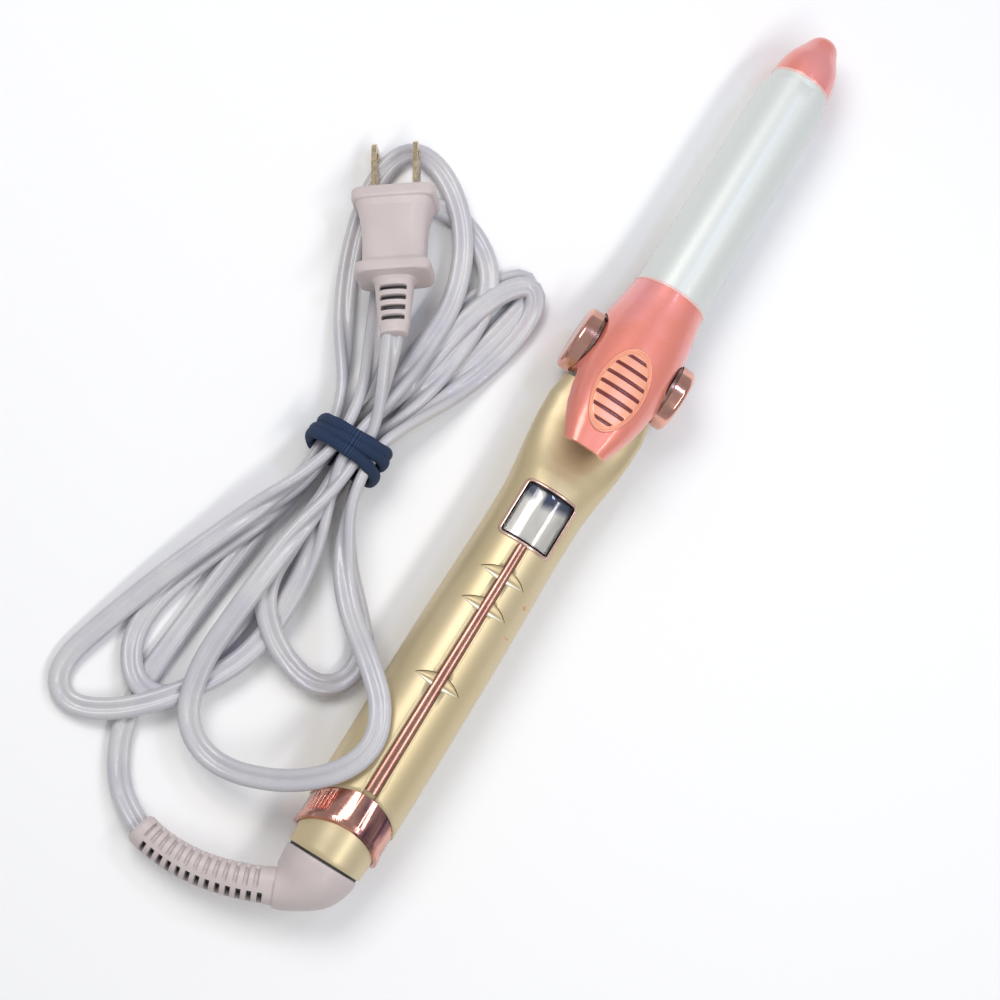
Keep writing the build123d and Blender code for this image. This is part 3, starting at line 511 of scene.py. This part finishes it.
# each run leaves the tie on one side, goes round its loop and comes back through the tie
LOOPS = [
    [(-130, 68.5, 1.9), (-108, 67.5, 1.9), (-84, 66, 2.2), (-60, 64.5, 4.5)],
    [(-22, 69, 5.5), (-2, 82, 2.5), (18, 91, 1.9), (38, 95.5, 1.9), (51, 91, 1.9), (50, 78, 1.9),
     (37, 63, 5.4), (17, 54, 6.5), (-4, 54, 9.5), (-22, 54, 12)],
    [(-58, 52, 11), (-81, 46, 8), (-104, 46, 6.5), (-120, 53, 6.5), (-136, 65, 6.5), (-145, 77, 3.5),
     (-146, 86, 2), (-138, 91.5, 2), (-120, 87, 3), (-95, 79, 6), (-72, 70, 9.5)],
    [(-20, 63, 11), (-2, 70, 6), (14, 78, 3), (28, 83.5, 1.9), (37, 80, 1.9), (41, 70, 1.9),
     (38.5, 59, 1.9), (30, 49, 5.5), (17, 44.5, 4), (-4, 45.5, 5), (-24, 48.5, 6.5)],
    [(-58, 52, 4.5), (-78, 51, 2.5), (-102, 51, 1.9), (-120, 54, 2.2), (-130.5, 60, 5),
     (-131.5, 70, 5.6), (-122, 78, 1.9), (-108, 79, 1.9), (-90, 74, 3), (-74, 67.5, 6),
     (-62, 62.5, 5.5)],
    [(-22, 57, 5.5), (-3, 55.5, 2.2), (15, 52.5, 1.9), (30, 46, 1.9), (37.5, 40, 1.9), (32, 35.5, 1.9),
     (15, 38, 1.9), (-7, 43, 2.5), (-24, 46, 5)],
    [(-55, 46, 6), (-68, 38, 4), (-78, 27, 3), (-87, 18.5, 3), (-98, 18.5, 3.5), (-104, 27, 4.5),
     (-101, 40, 8), (-94, 50, 10), (-85, 55, 10.5), (-72, 55, 10), (-58, 55, 8.5)],
    [(-22, 53, 6), (-3, 50.5, 5.6), (14, 48.5, 5.6), (28, 44, 5.4), (35.5, 37.5, 4.5), (31, 32.5, 3),
     (20, 31.8, 1.9), (4, 35.2, 2.2), (-11, 40.5, 5.8), (-26, 46, 11)],
    [(-56, 46, 13), (-70, 39, 13.5), (-81, 30, 17), (-90, 18, 24), (-99, 8, 28.5), (-110, 3.5, 30.2),
     (-122, 7.5, 28), (-133, 20, 20), (-139, 38, 11), (-133, 52, 8.5), (-117, 57.5, 9.5),
     (-97, 57, 13.5), (-76, 56, 14.5), (-57, 53.5, 13.8)],
    [(-28, 54.5, 15), (-16, 59.5, 19), (-9.5, 62.5, 22), (-4.2, 65.2, 23.0)],
]
# place of each pass in the tie: strand across, and its layer
PASSES = [(2, LOW_STRAND), (0, HIGH_STRAND), (1, HIGH_STRAND), (-1, LOW_STRAND), (1, LOW_STRAND),
          (-2, LOW_STRAND), (0, LOW_STRAND), (-2, HIGH_STRAND), (-1, HIGH_STRAND)]


def swung(points):
    """Points of the loops, turned about the pivot in plan by the bundle's swing."""
    cosine, sine = np.cos(HANK_SWING), np.sin(HANK_SWING)
    pivot_x, pivot_y = HANK_PIVOT
    return [(pivot_x + (x - pivot_x) * cosine - (y - pivot_y) * sine,
             pivot_y + (x - pivot_x) * sine + (y - pivot_y) * cosine, z) for x, y, z in points]


def cord_route():
    """All control points: the tail, then the loops, and two points for each pass through the tie."""
    route = list(CORD_TAIL[:-1]) + swung(LOOPS[0])
    for index, (strand, layer) in enumerate(PASSES):
        y = TIE_AT[1] + STRAND_GAP * strand
        passing = [(TIE_AT[0] - TIE_HALF_LENGTH, y, layer), (TIE_AT[0] + TIE_HALF_LENGTH, y, layer)]
        route += passing if index % 2 == 0 else passing[::-1]
        route += swung(LOOPS[index + 1])
    return route


def twin_section():
    """Outline of the flat twin cord: two round wires side by side, with a groove where they meet."""
    wire = CORD_THICK / 2
    apart = CORD_WIDE / 2 - wire
    meet = np.arccos((0.35 * MM - apart) / wire)
    swing = np.linspace(-meet, meet, 13)
    right = np.stack([apart + wire * np.cos(swing), wire * np.sin(swing)], -1)
    left = np.stack([-apart - wire * np.cos(swing), -wire * np.sin(swing)], -1)
    return np.concatenate([right, left])


def flat_cord(line):
    """The cord: its flat section lies level, and turns on edge as it nears the tie."""
    ahead, side, above = frames(line)
    from_tie = np.abs(line[:, 0] - TIE_AT[0] * MM)
    from_boot = np.arange(len(line)) * CORD_STEP
    edge = np.pi / 2 * (1 - smoothstep(ON_EDGE_WITHIN, LEVEL_BEYOND, from_tie))
    edge *= smoothstep(0.0, 60 * MM, from_boot)
    wide = side * np.cos(edge)[:, None] + above * np.sin(edge)[:, None]
    thick = np.cross(ahead, wide)
    outline = twin_section()
    rings = line[:, None] + wide[:, None] * outline[None, :, :1] + thick[:, None] * outline[None, :, 1:]
    return skin("flat_cord", rings)


def boot():
    """Strain relief: a tapered round along its line, with four rows of slots that alternate round it."""
    known = np.array(BOOT_LINE) * MM
    chord = np.concatenate([[0], np.cumsum(np.linalg.norm(np.diff(known, axis=0), axis=1))])
    fit = np.polyfit(chord, known, 4)
    run = np.linspace(0, chord[-1], 260)
    line = np.stack([np.polyval(fit[:, k], run) for k in range(3)], -1)
    ahead, side, above = frames(line)
    turn = np.linspace(0, 2 * np.pi, 96, endpoint=False)
    places = np.array(BOOT_PLACES) * MM
    places[-2:] += chord[-1]
    radius = np.interp(run, places, np.array(BOOT_RADII) * MM)
    half_pitch = BOOT_SLOT_PITCH / 2
    deep = np.zeros((len(run), len(turn)))
    painted_shading_and_dark_paint = np.zeros_like(deep)
    for row in range(4):
        blind = row % 2 == 1
        start = BOOT_SLOTS_FROM + half_pitch * blind
        wave = np.cos(np.pi * (run - start - half_pitch) / half_pitch)
        slot = smoothstep(0.05, 0.45, wave) * ((run > start) & (run < BOOT_SLOTS_TO))
        away = np.abs((turn - row * np.pi / 2 - BOOT_ROLL + np.pi) % (2 * np.pi) - np.pi)
        window = 1 - smoothstep(np.radians(33), np.radians(39), away)
        cut = slot[:, None] * window[None]
        depth, painted_slot_shade = BLIND_SLOTS if blind else OPEN_SLOTS
        deep = np.maximum(deep, depth * cut)
        painted_shading_and_dark_paint = np.maximum(painted_shading_and_dark_paint, painted_slot_shade * cut)
    # a superellipse of power 2.5, so a little squarer than round
    square = (np.abs(np.cos(turn)) ** 2.5 + np.abs(np.sin(turn)) ** 2.5) ** (-1 / 2.5)
    reach = (radius[:, None] - deep) * square[None]
    rings = (line[:, None] + side[:, None] * (reach * np.cos(turn))[..., None]
             + above[:, None] * (reach * np.sin(turn))[..., None])
    return skin("ribbed_strain_relief", rings, painted_shading_and_dark_paint)


def chart(piece, count, around, turns, length):
    """Lays a UV map named run over a looped skin: along the run, and around it."""
    layer = piece.data.uv_layers.new(name="run")
    corner = np.zeros(len(piece.data.loops), np.int64)
    piece.data.loops.foreach_get("vertex_index", corner)
    along, turn = corner // around, corner % around
    face_first = np.repeat(along.reshape(-1, 4)[:, :1], 4, axis=1).ravel()
    face_turn = np.repeat(turn.reshape(-1, 4)[:, :1], 4, axis=1).ravel()
    along = np.where((along == 0) & (face_first > count / 2), count, along)
    turn = np.where((turn == 0) & (face_turn > around / 2), around, turn)
    places = np.stack([along / count * length, turn / around * turns], -1)
    layer.data.foreach_set("uv", places.ravel().astype(np.float32))


def soft_power(wave, power):
    """A cosine or sine raised to a power with its sign kept, which squares the corners of a loop."""
    return np.sign(wave) * np.abs(wave) ** power


# each wrap of the elastic: place along the cord (mm), lean (mm), phase, bulge
WRAPS = [(-3.4, 1.3, 0.4, 0.05), (0.2, -1.1, 2.1, 0.025), (3.5, 0.7, 4.0, 0.05)]


def tie_wrap(index):
    """One wrap of the elastic: a soft-cornered loop round the bundle, with a flattened round section.

    The loop is a superellipse across the bundle that leans along it by a sine.
    """
    count, around = 220, 20
    turn = np.linspace(0, 2 * np.pi, count, endpoint=False)
    half_y, half_z = (19.5 / 2 + 1.55) * MM, (13.4 / 2 + 1.55) * MM
    place, lean, phase, bulge = WRAPS[index]
    x = TIE_AT[0] + place + lean * np.sin(turn + phase)
    lift = 1 + bulge * np.sin(2 * turn + phase)
    line = np.stack([x * MM, TIE_AT[1] * MM + half_y * soft_power(np.cos(turn), 0.72) * lift,
                     TIE_AT[2] * MM + half_z * soft_power(np.sin(turn), 0.72)], -1)
    ahead = np.roll(line, -1, axis=0) - np.roll(line, 1, axis=0)
    ahead /= np.linalg.norm(ahead, axis=1, keepdims=True)
    out = np.cross(ahead, np.array([1.0, 0, 0]))
    out /= np.linalg.norm(out, axis=1, keepdims=True)
    along = np.cross(out, ahead)
    spin = np.linspace(0, 2 * np.pi, around, endpoint=False)
    thick = 1.5 * MM * (1 + 0.05 * np.sin(9 * turn + phase))
    wide = thick * 1.25
    rings = (line[:, None] + out[:, None] * (thick[:, None] * np.cos(spin))[..., None]
             + along[:, None] * (wide[:, None] * np.sin(spin))[..., None])
    rings[..., 2] = np.maximum(rings[..., 2], 0.25 * MM)
    piece = skin(f"elastic_wrap_{index + 1}", rings, loop=True)
    chart(piece, count, around, 4, 46)
    return piece


PLUG_ROLL = np.radians(-17.0)
PLUG_BASE = 13.5 * MM            # the blades' flange face, from the plug's middle


def plug_frame():
    """The plug's own axes: along its blades, across them and through its thickness. Then its middle."""
    along = np.array(PLUG_MOUNT["axis"])
    level = np.cross(UP, along)
    level /= np.linalg.norm(level)
    above = np.cross(along, level)
    across = level * np.cos(PLUG_ROLL) + above * np.sin(PLUG_ROLL)
    through_it = above * np.cos(PLUG_ROLL) - level * np.sin(PLUG_ROLL)
    return along, across, through_it, np.array(PLUG_MOUNT["pos_m"]) - along * PLUG_BASE


# the plug's sections: x, half width, half thickness, squareness (mm)
PLUG_OUTLINE = np.array([
    (-34, 3.6, 2.3, 2.2), (-33.7, 4.1, 2.8, 2.4), (-31.6, 4.4, 3, 2.4), (-31.3, 4.6, 3.1, 2.4),
    (-17, 5.9, 3.9, 2.6), (-16, 6.6, 4.4, 3), (-15.5, 9.6, 5.8, 4.5), (-15.2, 11, 6.7, 5.5),
    (-14.4, 11.5, 7, 6), (-12.6, 11.5, 7, 6), (-11.8, 11.1, 6.8, 6), (-11.4, 10.2, 6.2, 5.5),
    (-10.4, 9.5, 5.7, 4.5), (-4, 9.5, 5.8, 4.2), (2, 10, 6.1, 4.2), (7, 10.9, 6.5, 4.6),
    (9.2, 11.6, 6.9, 5.2), (9.6, 12.4, 7.3, 6), (10.4, 12.75, 7.5, 6.5), (12.6, 12.75, 7.5, 6.5),
    (13.2, 12.4, 7.3, 6.5), (13.5, 11.9, 6.8, 6)])
PLUG_SLOTS = (-29.2, -26.0, -22.8, -19.6)


def plug():
    """Moulded plug: superellipse sections along its axis, with two flanges and slots in its tail."""
    known = PLUG_OUTLINE[:, 0]
    run = np.unique(np.concatenate([np.linspace(known[0], known[-1], 190), known]))
    wide, thick, square = (np.interp(run, known, PLUG_OUTLINE[:, k]) for k in (1, 2, 3))
    turn = np.linspace(0, 2 * np.pi, 88, endpoint=False)
    power = 2 / square[:, None]
    y = wide[:, None] * soft_power(np.cos(turn), power)
    z = thick[:, None] * soft_power(np.sin(turn), power)
    slots = np.zeros_like(y)
    for place in PLUG_SLOTS:
        band = 1 - smoothstep(0.5, 0.85, np.abs(run - place))
        face = 1 - smoothstep(0.62, 0.78, np.abs(y) / wide[:, None])
        slots = np.maximum(slots, band[:, None] * face)
    sunk = 1 - 0.42 * slots
    along, across, through_it, middle = plug_frame()
    rings = (middle + along * run[:, None, None] * MM + across * (y * MM)[..., None]
             + through_it * (z * sunk * MM)[..., None])
    # the slot mask is painted shade in the plug's slots
    return skin("moulded_plug", rings, slots)


def make_cord():
    route = cord_route()
    line = spline_line("cord_run", route, CORD_STEP)
    cord = paint(flat_cord(line), CORD)
    relief = paint(boot(), GREY)
    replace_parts(relief, "strain_relief_boot")
    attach(relief, "swivel")
    moulding = paint(plug(), GREY)
    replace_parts(moulding, "plug_body")
    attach(moulding, "handle")
    blades = paint(refined("plug_blades", "handle", 0.15 * MM), BRASS)
    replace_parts(cord, "cord_tail", "cord_hank")
    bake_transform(cord)
    wraps = [paint(tie_wrap(index), ELASTIC) for index in range(len(WRAPS))]
    for wrap in wraps:
        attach(wrap, "handle")
    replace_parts(wraps[0], "cord_tie")


# ---------------------------------------------------------------- handle and its trim
WINDOW_X, WINDOW_HALF_L, WINDOW_HALF_W, WINDOW_RIM = -28.3, 9.6, 9.0, 1.5


def rounded_plan(half_x, half_y, corner, steps=9, side=14):
    """Points and outward directions round a rectangle with round corners, all sides in equal steps."""
    places, outward = [], []
    for quarter in range(4):
        angle = np.linspace(0, np.pi / 2, steps) + quarter * np.pi / 2
        sign_x, sign_y = ((1, 1), (-1, 1), (-1, -1), (1, -1))[quarter]
        centre = np.array([sign_x * (half_x - corner), sign_y * (half_y - corner)])
        ray = np.stack([np.cos(angle), np.sin(angle)], -1)
        places.append(centre + corner * ray)
        outward.append(ray)
    joined, facing = [], []
    for quarter in range(4):
        joined.append(places[quarter])
        facing.append(outward[quarter])
        start, end = places[quarter][-1], places[(quarter + 1) % 4][0]
        share = np.linspace(0, 1, side)[1:-1, None]
        joined.append(start + (end - start) * share)
        facing.append(np.repeat(outward[quarter][-1:], side - 2, axis=0))
    return np.concatenate(joined), np.concatenate(facing)


def window_frame():
    """The window's frame: one profile carried round a rounded rectangle, over the handle's skin."""
    inner, facing = rounded_plan(WINDOW_HALF_L - WINDOW_RIM, WINDOW_HALF_W - WINDOW_RIM, 0.6)
    # distance out from the opening, height above the skin (mm), and painted shade down the walls into the well and
    # on the sunken inner ledge
    profile = np.array([
        (0.02, -1.4, 1), (0.02, -0.35, 1), (0.10, -0.16, 1), (0.42, -0.14, 1), (0.50, 0.0, 0.5),
        (0.58, 0.14, 0), (0.75, 0.24, 0), (1.0, 0.27, 0), (1.25, 0.22, 0), (1.42, 0.08, 0),
        (1.49, -0.15, 0.4), (1.49, -1.4, 1)])
    plan = inner[:, None] + facing[:, None] * profile[None, :, :1]
    x = (WINDOW_X + plan[..., 0]) * MM
    y = plan[..., 1] * MM
    z = dome(HANDLE, x, y) + profile[None, :, 1] * MM
    marks = np.broadcast_to(profile[None, :, 2], x.shape)
    return skin("window_frame", np.stack([x, y, z], -1), marks, loop=True)


def display_face():
    """The pale face under the window: a plate that follows the handle's curve, with painted shade towards its rim
    and a painted dark reflection over its front.
    """
    half_x, half_y = (WINDOW_HALF_L - WINDOW_RIM - 0.05) * MM, (WINDOW_HALF_W - WINDOW_RIM - 0.05) * MM
    x, y = np.meshgrid(np.linspace(-half_x, half_x, 40), np.linspace(-half_y, half_y, 36), indexing="ij")
    rim = smoothstep(0.95, 1.0, np.maximum(np.abs(x) / half_x, np.abs(y) / half_y))
    # painted dark reflection and shade over the front of the face, broken by a painted highlight streak
    highlight_streak = 1 - smoothstep(0.08, 0.2, np.abs(y / half_y - 0.28 - 0.1 * x / half_x))
    dark_reflection = smoothstep(0.18, 0.62, x / half_x - 0.22 * np.abs(y / half_y - 0.2)) * (1 - 0.85 * highlight_streak)
    x = x + WINDOW_X * MM
    z = dome(HANDLE, x, y) - 2.1 * MM
    return slab("display_face", np.stack([x, y, z], -1), 0.5 * MM, np.maximum(rim, 0.9 * dark_reflection))


STRIP_FRONT, STRIP_REAR = -38.0, -121.4


def strip_half(x):
    """Half width of the trim strip's channel: it widens evenly towards the rear (mm)."""
    return np.interp(x, [-124.0, -37.95], [2.15, 1.55])


def strip_piece(name, inset, profile):
    """A strip down the handle, inset from its channel.

    Its profile is a list of (share of the half width, height above the skin).
    """
    x = np.linspace(STRIP_REAR, STRIP_FRONT, 130)
    shape = np.array(profile)
    y = (strip_half(x) - inset)[:, None] * shape[None, :, 0] * MM
    place = np.broadcast_to(x[:, None] * MM, y.shape)
    z = dome(HANDLE, place, y) + shape[None, :, 1] * MM
    return skin(name, np.stack([place, y, z], -1))


# each key: its place along X (mm), and the body that it is
KEYS = {"plus_button": (-49.05, "plus_key"), "minus_button": (-59.65, "minus_key"),
        "power_button": (-85.25, "power_key")}


def crescent(node, place):
    """A crescent key between two parabolas: a step down in front, a scoop, and a raised lip behind.

    The heights fade towards both tips, and the middle dips under the trim strip.
    """
    share = np.sin(np.linspace(-np.pi / 2, np.pi / 2, 121)) * 0.985
    # share of the way from the front edge to the rear one, height above the skin (mm)
    across = np.array([
        (0, 0.02), (0.04, 0.0), (0.07, -0.22), (0.2, -0.36), (0.35, -0.42), (0.5, -0.34), (0.62, -0.1),
        (0.70, 0.18), (0.78, 0.34), (0.88, 0.38), (0.95, 0.28), (1.0, 0.0)])
    fine = np.linspace(0, 1, 34)
    height = np.interp(fine, across[:, 0], across[:, 1])
    fade = (1 - share**2) ** 0.55
    front, rear = place + 2.66 * (1 - share**2), place - 1.36 * (1 - share**2) - 0.06
    x = front[:, None] + (rear - front)[:, None] * fine[None]
    y = np.broadcast_to(share[:, None] * 7.2, x.shape)
    under_strip = 1 - smoothstep(strip_half(place) - 0.3, strip_half(place) - 0.2, np.abs(y))
    rise = height[None] * fade[:, None] * (1 - under_strip) - 1.3 * under_strip
    z = dome(HANDLE, x * MM, y * MM) + rise * MM
    # mask of the painted highlight on the raised rear lip
    lip = np.interp(fine, [0.66, 0.76, 0.95, 1.0], [0, 1, 1, 0.5])[None] * fade[:, None] ** 0.4
    return slab(node + "_finished", np.stack([x * MM, y * MM, z], -1), 1.6 * MM, lip)


def skin_marks():
    """The small plus and minus beside their keys: thin bars laid on the handle's skin."""
    # middle along X, length along X and length along Y of each bar (mm)
    bars = [(-52.6, 1.5, 0.36), (-52.6, 0.36, 1.5), (-63.0, 0.36, 1.5)]
    marks_y = -10.6
    share = np.linspace(-0.5, 0.5, 6)
    pieces = []
    for number, (middle, long, wide) in enumerate(bars):
        x, y = np.meshgrid((middle + long * share) * MM, (marks_y + wide * share) * MM, indexing="ij")
        z = dome(HANDLE, x, y) + 0.03 * MM
        pieces.append(slab(f"key_mark_{number + 1}", np.stack([x, y, z], -1), 0.2 * MM))
    return pieces


RING_FRONT, RING_REAR = (-129.45, 0.3472, 0.01296), (-138.45, 0.2611, 0.01096)


def ring_edge(z, edge):
    """Place along X of an edge of the copper ring at a height from the axis: a parabola."""
    middle, slope, bend = edge
    return middle + slope * z + bend * z * z


def ring_ribs():
    """Grip ribs on the ring: slim half-round bars along X, side by side round its shoulder."""
    ribs = []
    for number in range(6):
        angle = np.radians(38 + 5.6 * number)
        height = RING_R * np.cos(angle)
        front = ring_edge(height, RING_FRONT) - 0.9
        rear = ring_edge(height, RING_REAR) + 2.5
        share = np.linspace(0, 1, 24)
        swell = np.sqrt(np.clip(1 - (2 * share - 1) ** 10, 0, 1)) * 0.17 * MM + 0.01 * MM
        turn = np.linspace(0, 2 * np.pi, 14, endpoint=False)
        out = np.array([0, np.sin(angle), np.cos(angle)])
        side = np.array([0, np.cos(angle), -np.sin(angle)])
        along = np.interp(share, [0, 1], [rear, front]) * MM
        line = np.stack([along, np.zeros(24), np.full(24, AXIS_Z)], -1)
        line += out * RING_R * MM
        rings = (line[:, None] + out * (swell[:, None] * np.cos(turn))[..., None]
                 + side * (swell[:, None] * np.sin(turn))[..., None])
        ribs.append(skin(f"ring_rib_{number + 1}", rings))
    return ribs


def make_handle():
    for node in ("handle_upper_shell", "handle_lower_shell", "handle_end_cap"):
        paint(refined(node, "handle"), GOLD)
    paint(refined("end_ring", "handle", 0.12 * MM), RING_COPPER)
    for rib in ring_ribs():
        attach(paint(rib, RING_COPPER), "handle")
    frame_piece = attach(paint(window_frame(), FRAME_COPPER), "handle")
    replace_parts(frame_piece, "display_bezel")
    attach(paint(display_face(), SILVER), "handle")
    paint(refined("display_lens", "handle", 0.1 * MM), GLASS)
    rounded = [(1, -1.0), (1, 0.0), (0.9, 0.16), (0.62, 0.34), (0.3, 0.42), (0, 0.45)]
    rounded += [(-share, height) for share, height in rounded[-2::-1]]
    strip = strip_piece("trim_strip_finished", 0.2, rounded)
    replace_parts(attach(paint(strip, STRIP_COPPER), "handle"), "trim_strip")
    # a black sheet under the strip, a little wider than its channel: painted shade in the gap round the strip
    flat = [(1, -1.05), (1, -0.5), (0.5, -0.45), (-0.5, -0.45), (-1, -0.5), (-1, -1.05)]
    gap_shade = strip_piece("strip_gap_shade", -0.02, flat)
    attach(paint(gap_shade, BLACK), "handle")
    for node, (place, body) in KEYS.items():
        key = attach(paint(crescent(node, place), KEY_GOLD), body)
        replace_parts(key, node)
    for mark in skin_marks():
        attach(paint(mark, ORANGE), "handle")


# ---------------------------------------------------------------- clip, lever, pad and barrel
PAD_X, PAD_HALF_L, PAD_HALF_W, PAD_EGG = 15.9, 14.6, 7.8, 0.03
SLOT_FIRST, SLOT_PITCH, SLOTS, SLOT_DEPTH = 26.9, 3.7, 7, 0.54


def grip_pad():
    """The egg-shaped pad: a raised rim, a crowned face and slots across it, on the lever's skin."""
    share = np.sin(np.linspace(-np.pi / 2, np.pi / 2, 260)) * 0.9995
    across = np.sin(np.linspace(-np.pi / 2, np.pi / 2, 90))
    x = PAD_X + PAD_HALF_L * share
    half = PAD_HALF_W * np.sqrt(1 - share**2) * (1 + PAD_EGG * share)
    place = np.broadcast_to(x[:, None], (len(x), len(across)))
    y = half[:, None] * across[None]
    out = np.sqrt(share[:, None] ** 2 + across[None] ** 2 * (1 - share[:, None] ** 2))
    # share of the way out to the pad's edge, height above the lever's skin (mm)
    profile = np.array([
        (0, 0.62), (0.84, 0.60), (0.885, 0.52), (0.90, 0.28), (0.925, 0.28), (0.94, 0.60), (0.955, 0.72),
        (0.975, 0.70), (0.99, 0.45), (1.0, 0.0)])
    rise = np.interp(out, profile[:, 0], profile[:, 1])
    # the slots end short of the rim, and the middle ones are a little wider
    inside_rim = 1 - smoothstep(0.82, 0.87, out)
    slots = np.zeros_like(rise)
    for number in range(SLOTS):
        middle = SLOT_FIRST - SLOT_PITCH * number
        half_width = 0.30 + 0.10 * np.sin(np.pi * (number + 0.6) / SLOTS)
        band = 1 - smoothstep(half_width, half_width + 0.32, np.abs(place - middle))
        slots = np.maximum(slots, band * inside_rim)
    rise = rise - SLOT_DEPTH * slots
    z = dome(LEVER, place * MM, y * MM) + rise * MM
    # the slot mask darkens them: painted shade with dark paint
    return slab("grip_pad_finished", np.stack([place * MM, y * MM, z], -1), 0.9 * MM, slots)


def front_bead():
    """The pale bead at the lever's front edge: a slim round carried over the barrel in a half circle."""
    turn = np.linspace(0.02, np.pi - 0.02, 90)
    width, top, _ = through(LEVER, np.array([52.75 * MM]))[0]
    line = np.stack([np.full(90, 52.8 * MM), (width - 0.1 * MM) * np.cos(turn),
                     AXIS_Z + 0.3 * MM + (top - 0.35 * MM) * np.sin(turn)], -1)
    out = np.stack([np.zeros(90), np.cos(turn), np.sin(turn)], -1)
    spin = np.linspace(0, 2 * np.pi, 14, endpoint=False)
    size = 0.34 * MM
    rings = line[:, None] + out[:, None] * (size * np.cos(spin))[None, :, None]
    rings[..., 0] += size * 1.3 * np.sin(spin)[None]
    return skin("lever_front_bead", rings)


def tip_seat():
    """The pale seat at the root of the tip cap: a slim ring round the barrel."""
    turn = np.linspace(0, 2 * np.pi, 120, endpoint=False)
    spin = np.linspace(0, 2 * np.pi, 12, endpoint=False)
    reach = (9.72 + 0.22 * np.cos(spin)) * MM
    x = (134.2 + 0.42 * np.sin(spin)) * MM
    rings = np.stack([np.broadcast_to(x, (120, 12)), reach * np.cos(turn)[:, None],
                      AXIS_Z + reach * np.sin(turn)[:, None]], -1)
    return skin("tip_seat_ring", rings, loop=True)


def make_barrel_and_clip():
    paint(refined("barrel_tube", "handle"), PEARL)
    paint(refined("barrel_tip", "handle"), CORAL)
    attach(paint(tip_seat(), RIM), "handle")
    paint(refined("clip", "clip_assembly", 0.2 * MM), PEARL)
    paint(refined("thumb_lever", "clip_assembly", 0.25 * MM), CORAL)
    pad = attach(paint(grip_pad(), PAD), "clip_assembly")
    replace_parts(pad, "grip_pad")
    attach(paint(front_bead(), RIM), "clip_assembly")
    paint(refined("barrel_collar", "handle", 0.15 * MM), BLACK)
    spring = refined("clip_spring", "handle", angle=60)
    paint(spring, STEEL)
    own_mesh(spring)


def make_rest_and_swivel():
    for node in ("stand_cap_left", "stand_cap_right"):
        paint(refined(node, "rest"), COPPER)
    paint(refined("stand_leg", "rest", angle=50), BRONZE)
    paint(refined("swivel_elbow", "swivel", 0.3 * MM), GREY)
    paint(refined("swivel_washer", "handle"), BLACK)


INSIDE = {
    "display_module": (SILVER, "display"), "circuit_board": (BOARD, "board"),
    "dome_switches": (BLACK, "black_plastic"),
    "shell_screws": (STEEL, "steel"), "hub_screws": (STEEL, "steel"), "clip_rivets": (STEEL, "steel"),
    "heater_clamp_upper": (ALUMINIUM, "aluminium"), "heater_clamp_lower": (ALUMINIUM, "aluminium"),
    "heater_plate": (CERAMIC, "ceramic"), "thermistor": (CERAMIC, "ceramic"),
    "heater_leads": (CERAMIC, "wire_sleeve"), "swivel_spindle": (BLACK, "black_plastic"),
    "slip_rings": (BRASS, "brass"), "contact_brushes": (BRASS, "brass"),
}


def make_inside():
    for node, (finish, slot) in INSIDE.items():
        paint(frame["nodes"][node], finish)


# ---------------------------------------------------------------- floor and light
def make_stage():
    mesh = bpy.data.meshes.new("floor")
    corners = np.array([(-1, -1, 0), (1, -1, 0), (1, 1, 0), (-1, 1, 0)]) * 1.6
    mesh.from_pydata(corners.tolist(), [], [(0, 1, 2, 3)])
    floor = bpy.data.objects.new("floor", mesh)
    floor.location.z = -0.0001
    scene.collection.objects.link(floor)
    pale = Finish("pale_floor", (0.93, 0.93, 0.93), 0.7)
    mesh.materials.append(pale.material)


def area_light(name, place, aim, size, power, colour=(1, 1, 1)):
    lamp = bpy.data.lights.new(name, "AREA")
    lamp.shape = "RECTANGLE"
    lamp.size, lamp.size_y = size
    lamp.energy = power
    lamp.color = colour
    holder = bpy.data.objects.new(name, lamp)
    holder.location = place
    holder.rotation_euler = (Vector(aim) - Vector(place)).to_track_quat("-Z", "Y").to_euler()
    scene.collection.objects.link(holder)


def make_light():
    world = bpy.data.worlds.new("studio")
    world.use_nodes = True
    sky = world.node_tree.nodes["Background"]
    sky.inputs["Color"].default_value = (0.93, 0.95, 1.0, 1)
    sky.inputs["Strength"].default_value = 0.42
    scene.world = world
    area_light("key", (0.15, 0.45, 0.75), (-0.02, 0.02, 0), (0.5, 0.35), 3.4, (1.0, 0.98, 0.95))
    area_light("long_strip", (-0.05, -0.28, 0.55), (-0.02, 0.0, 0), (0.7, 0.08), 1.5, (1.0, 0.99, 0.97))
    area_light("cool_spot", (0.30, -0.10, 0.55), (0.03, 0.0, 0.03), (0.10, 0.05), 0.35, (0.55, 0.66, 1.0))


make_handle()
make_barrel_and_clip()
make_rest_and_swivel()
make_cord()
make_inside()
place_camera()
make_stage()
make_light()
scene.view_settings.view_transform = "Standard"
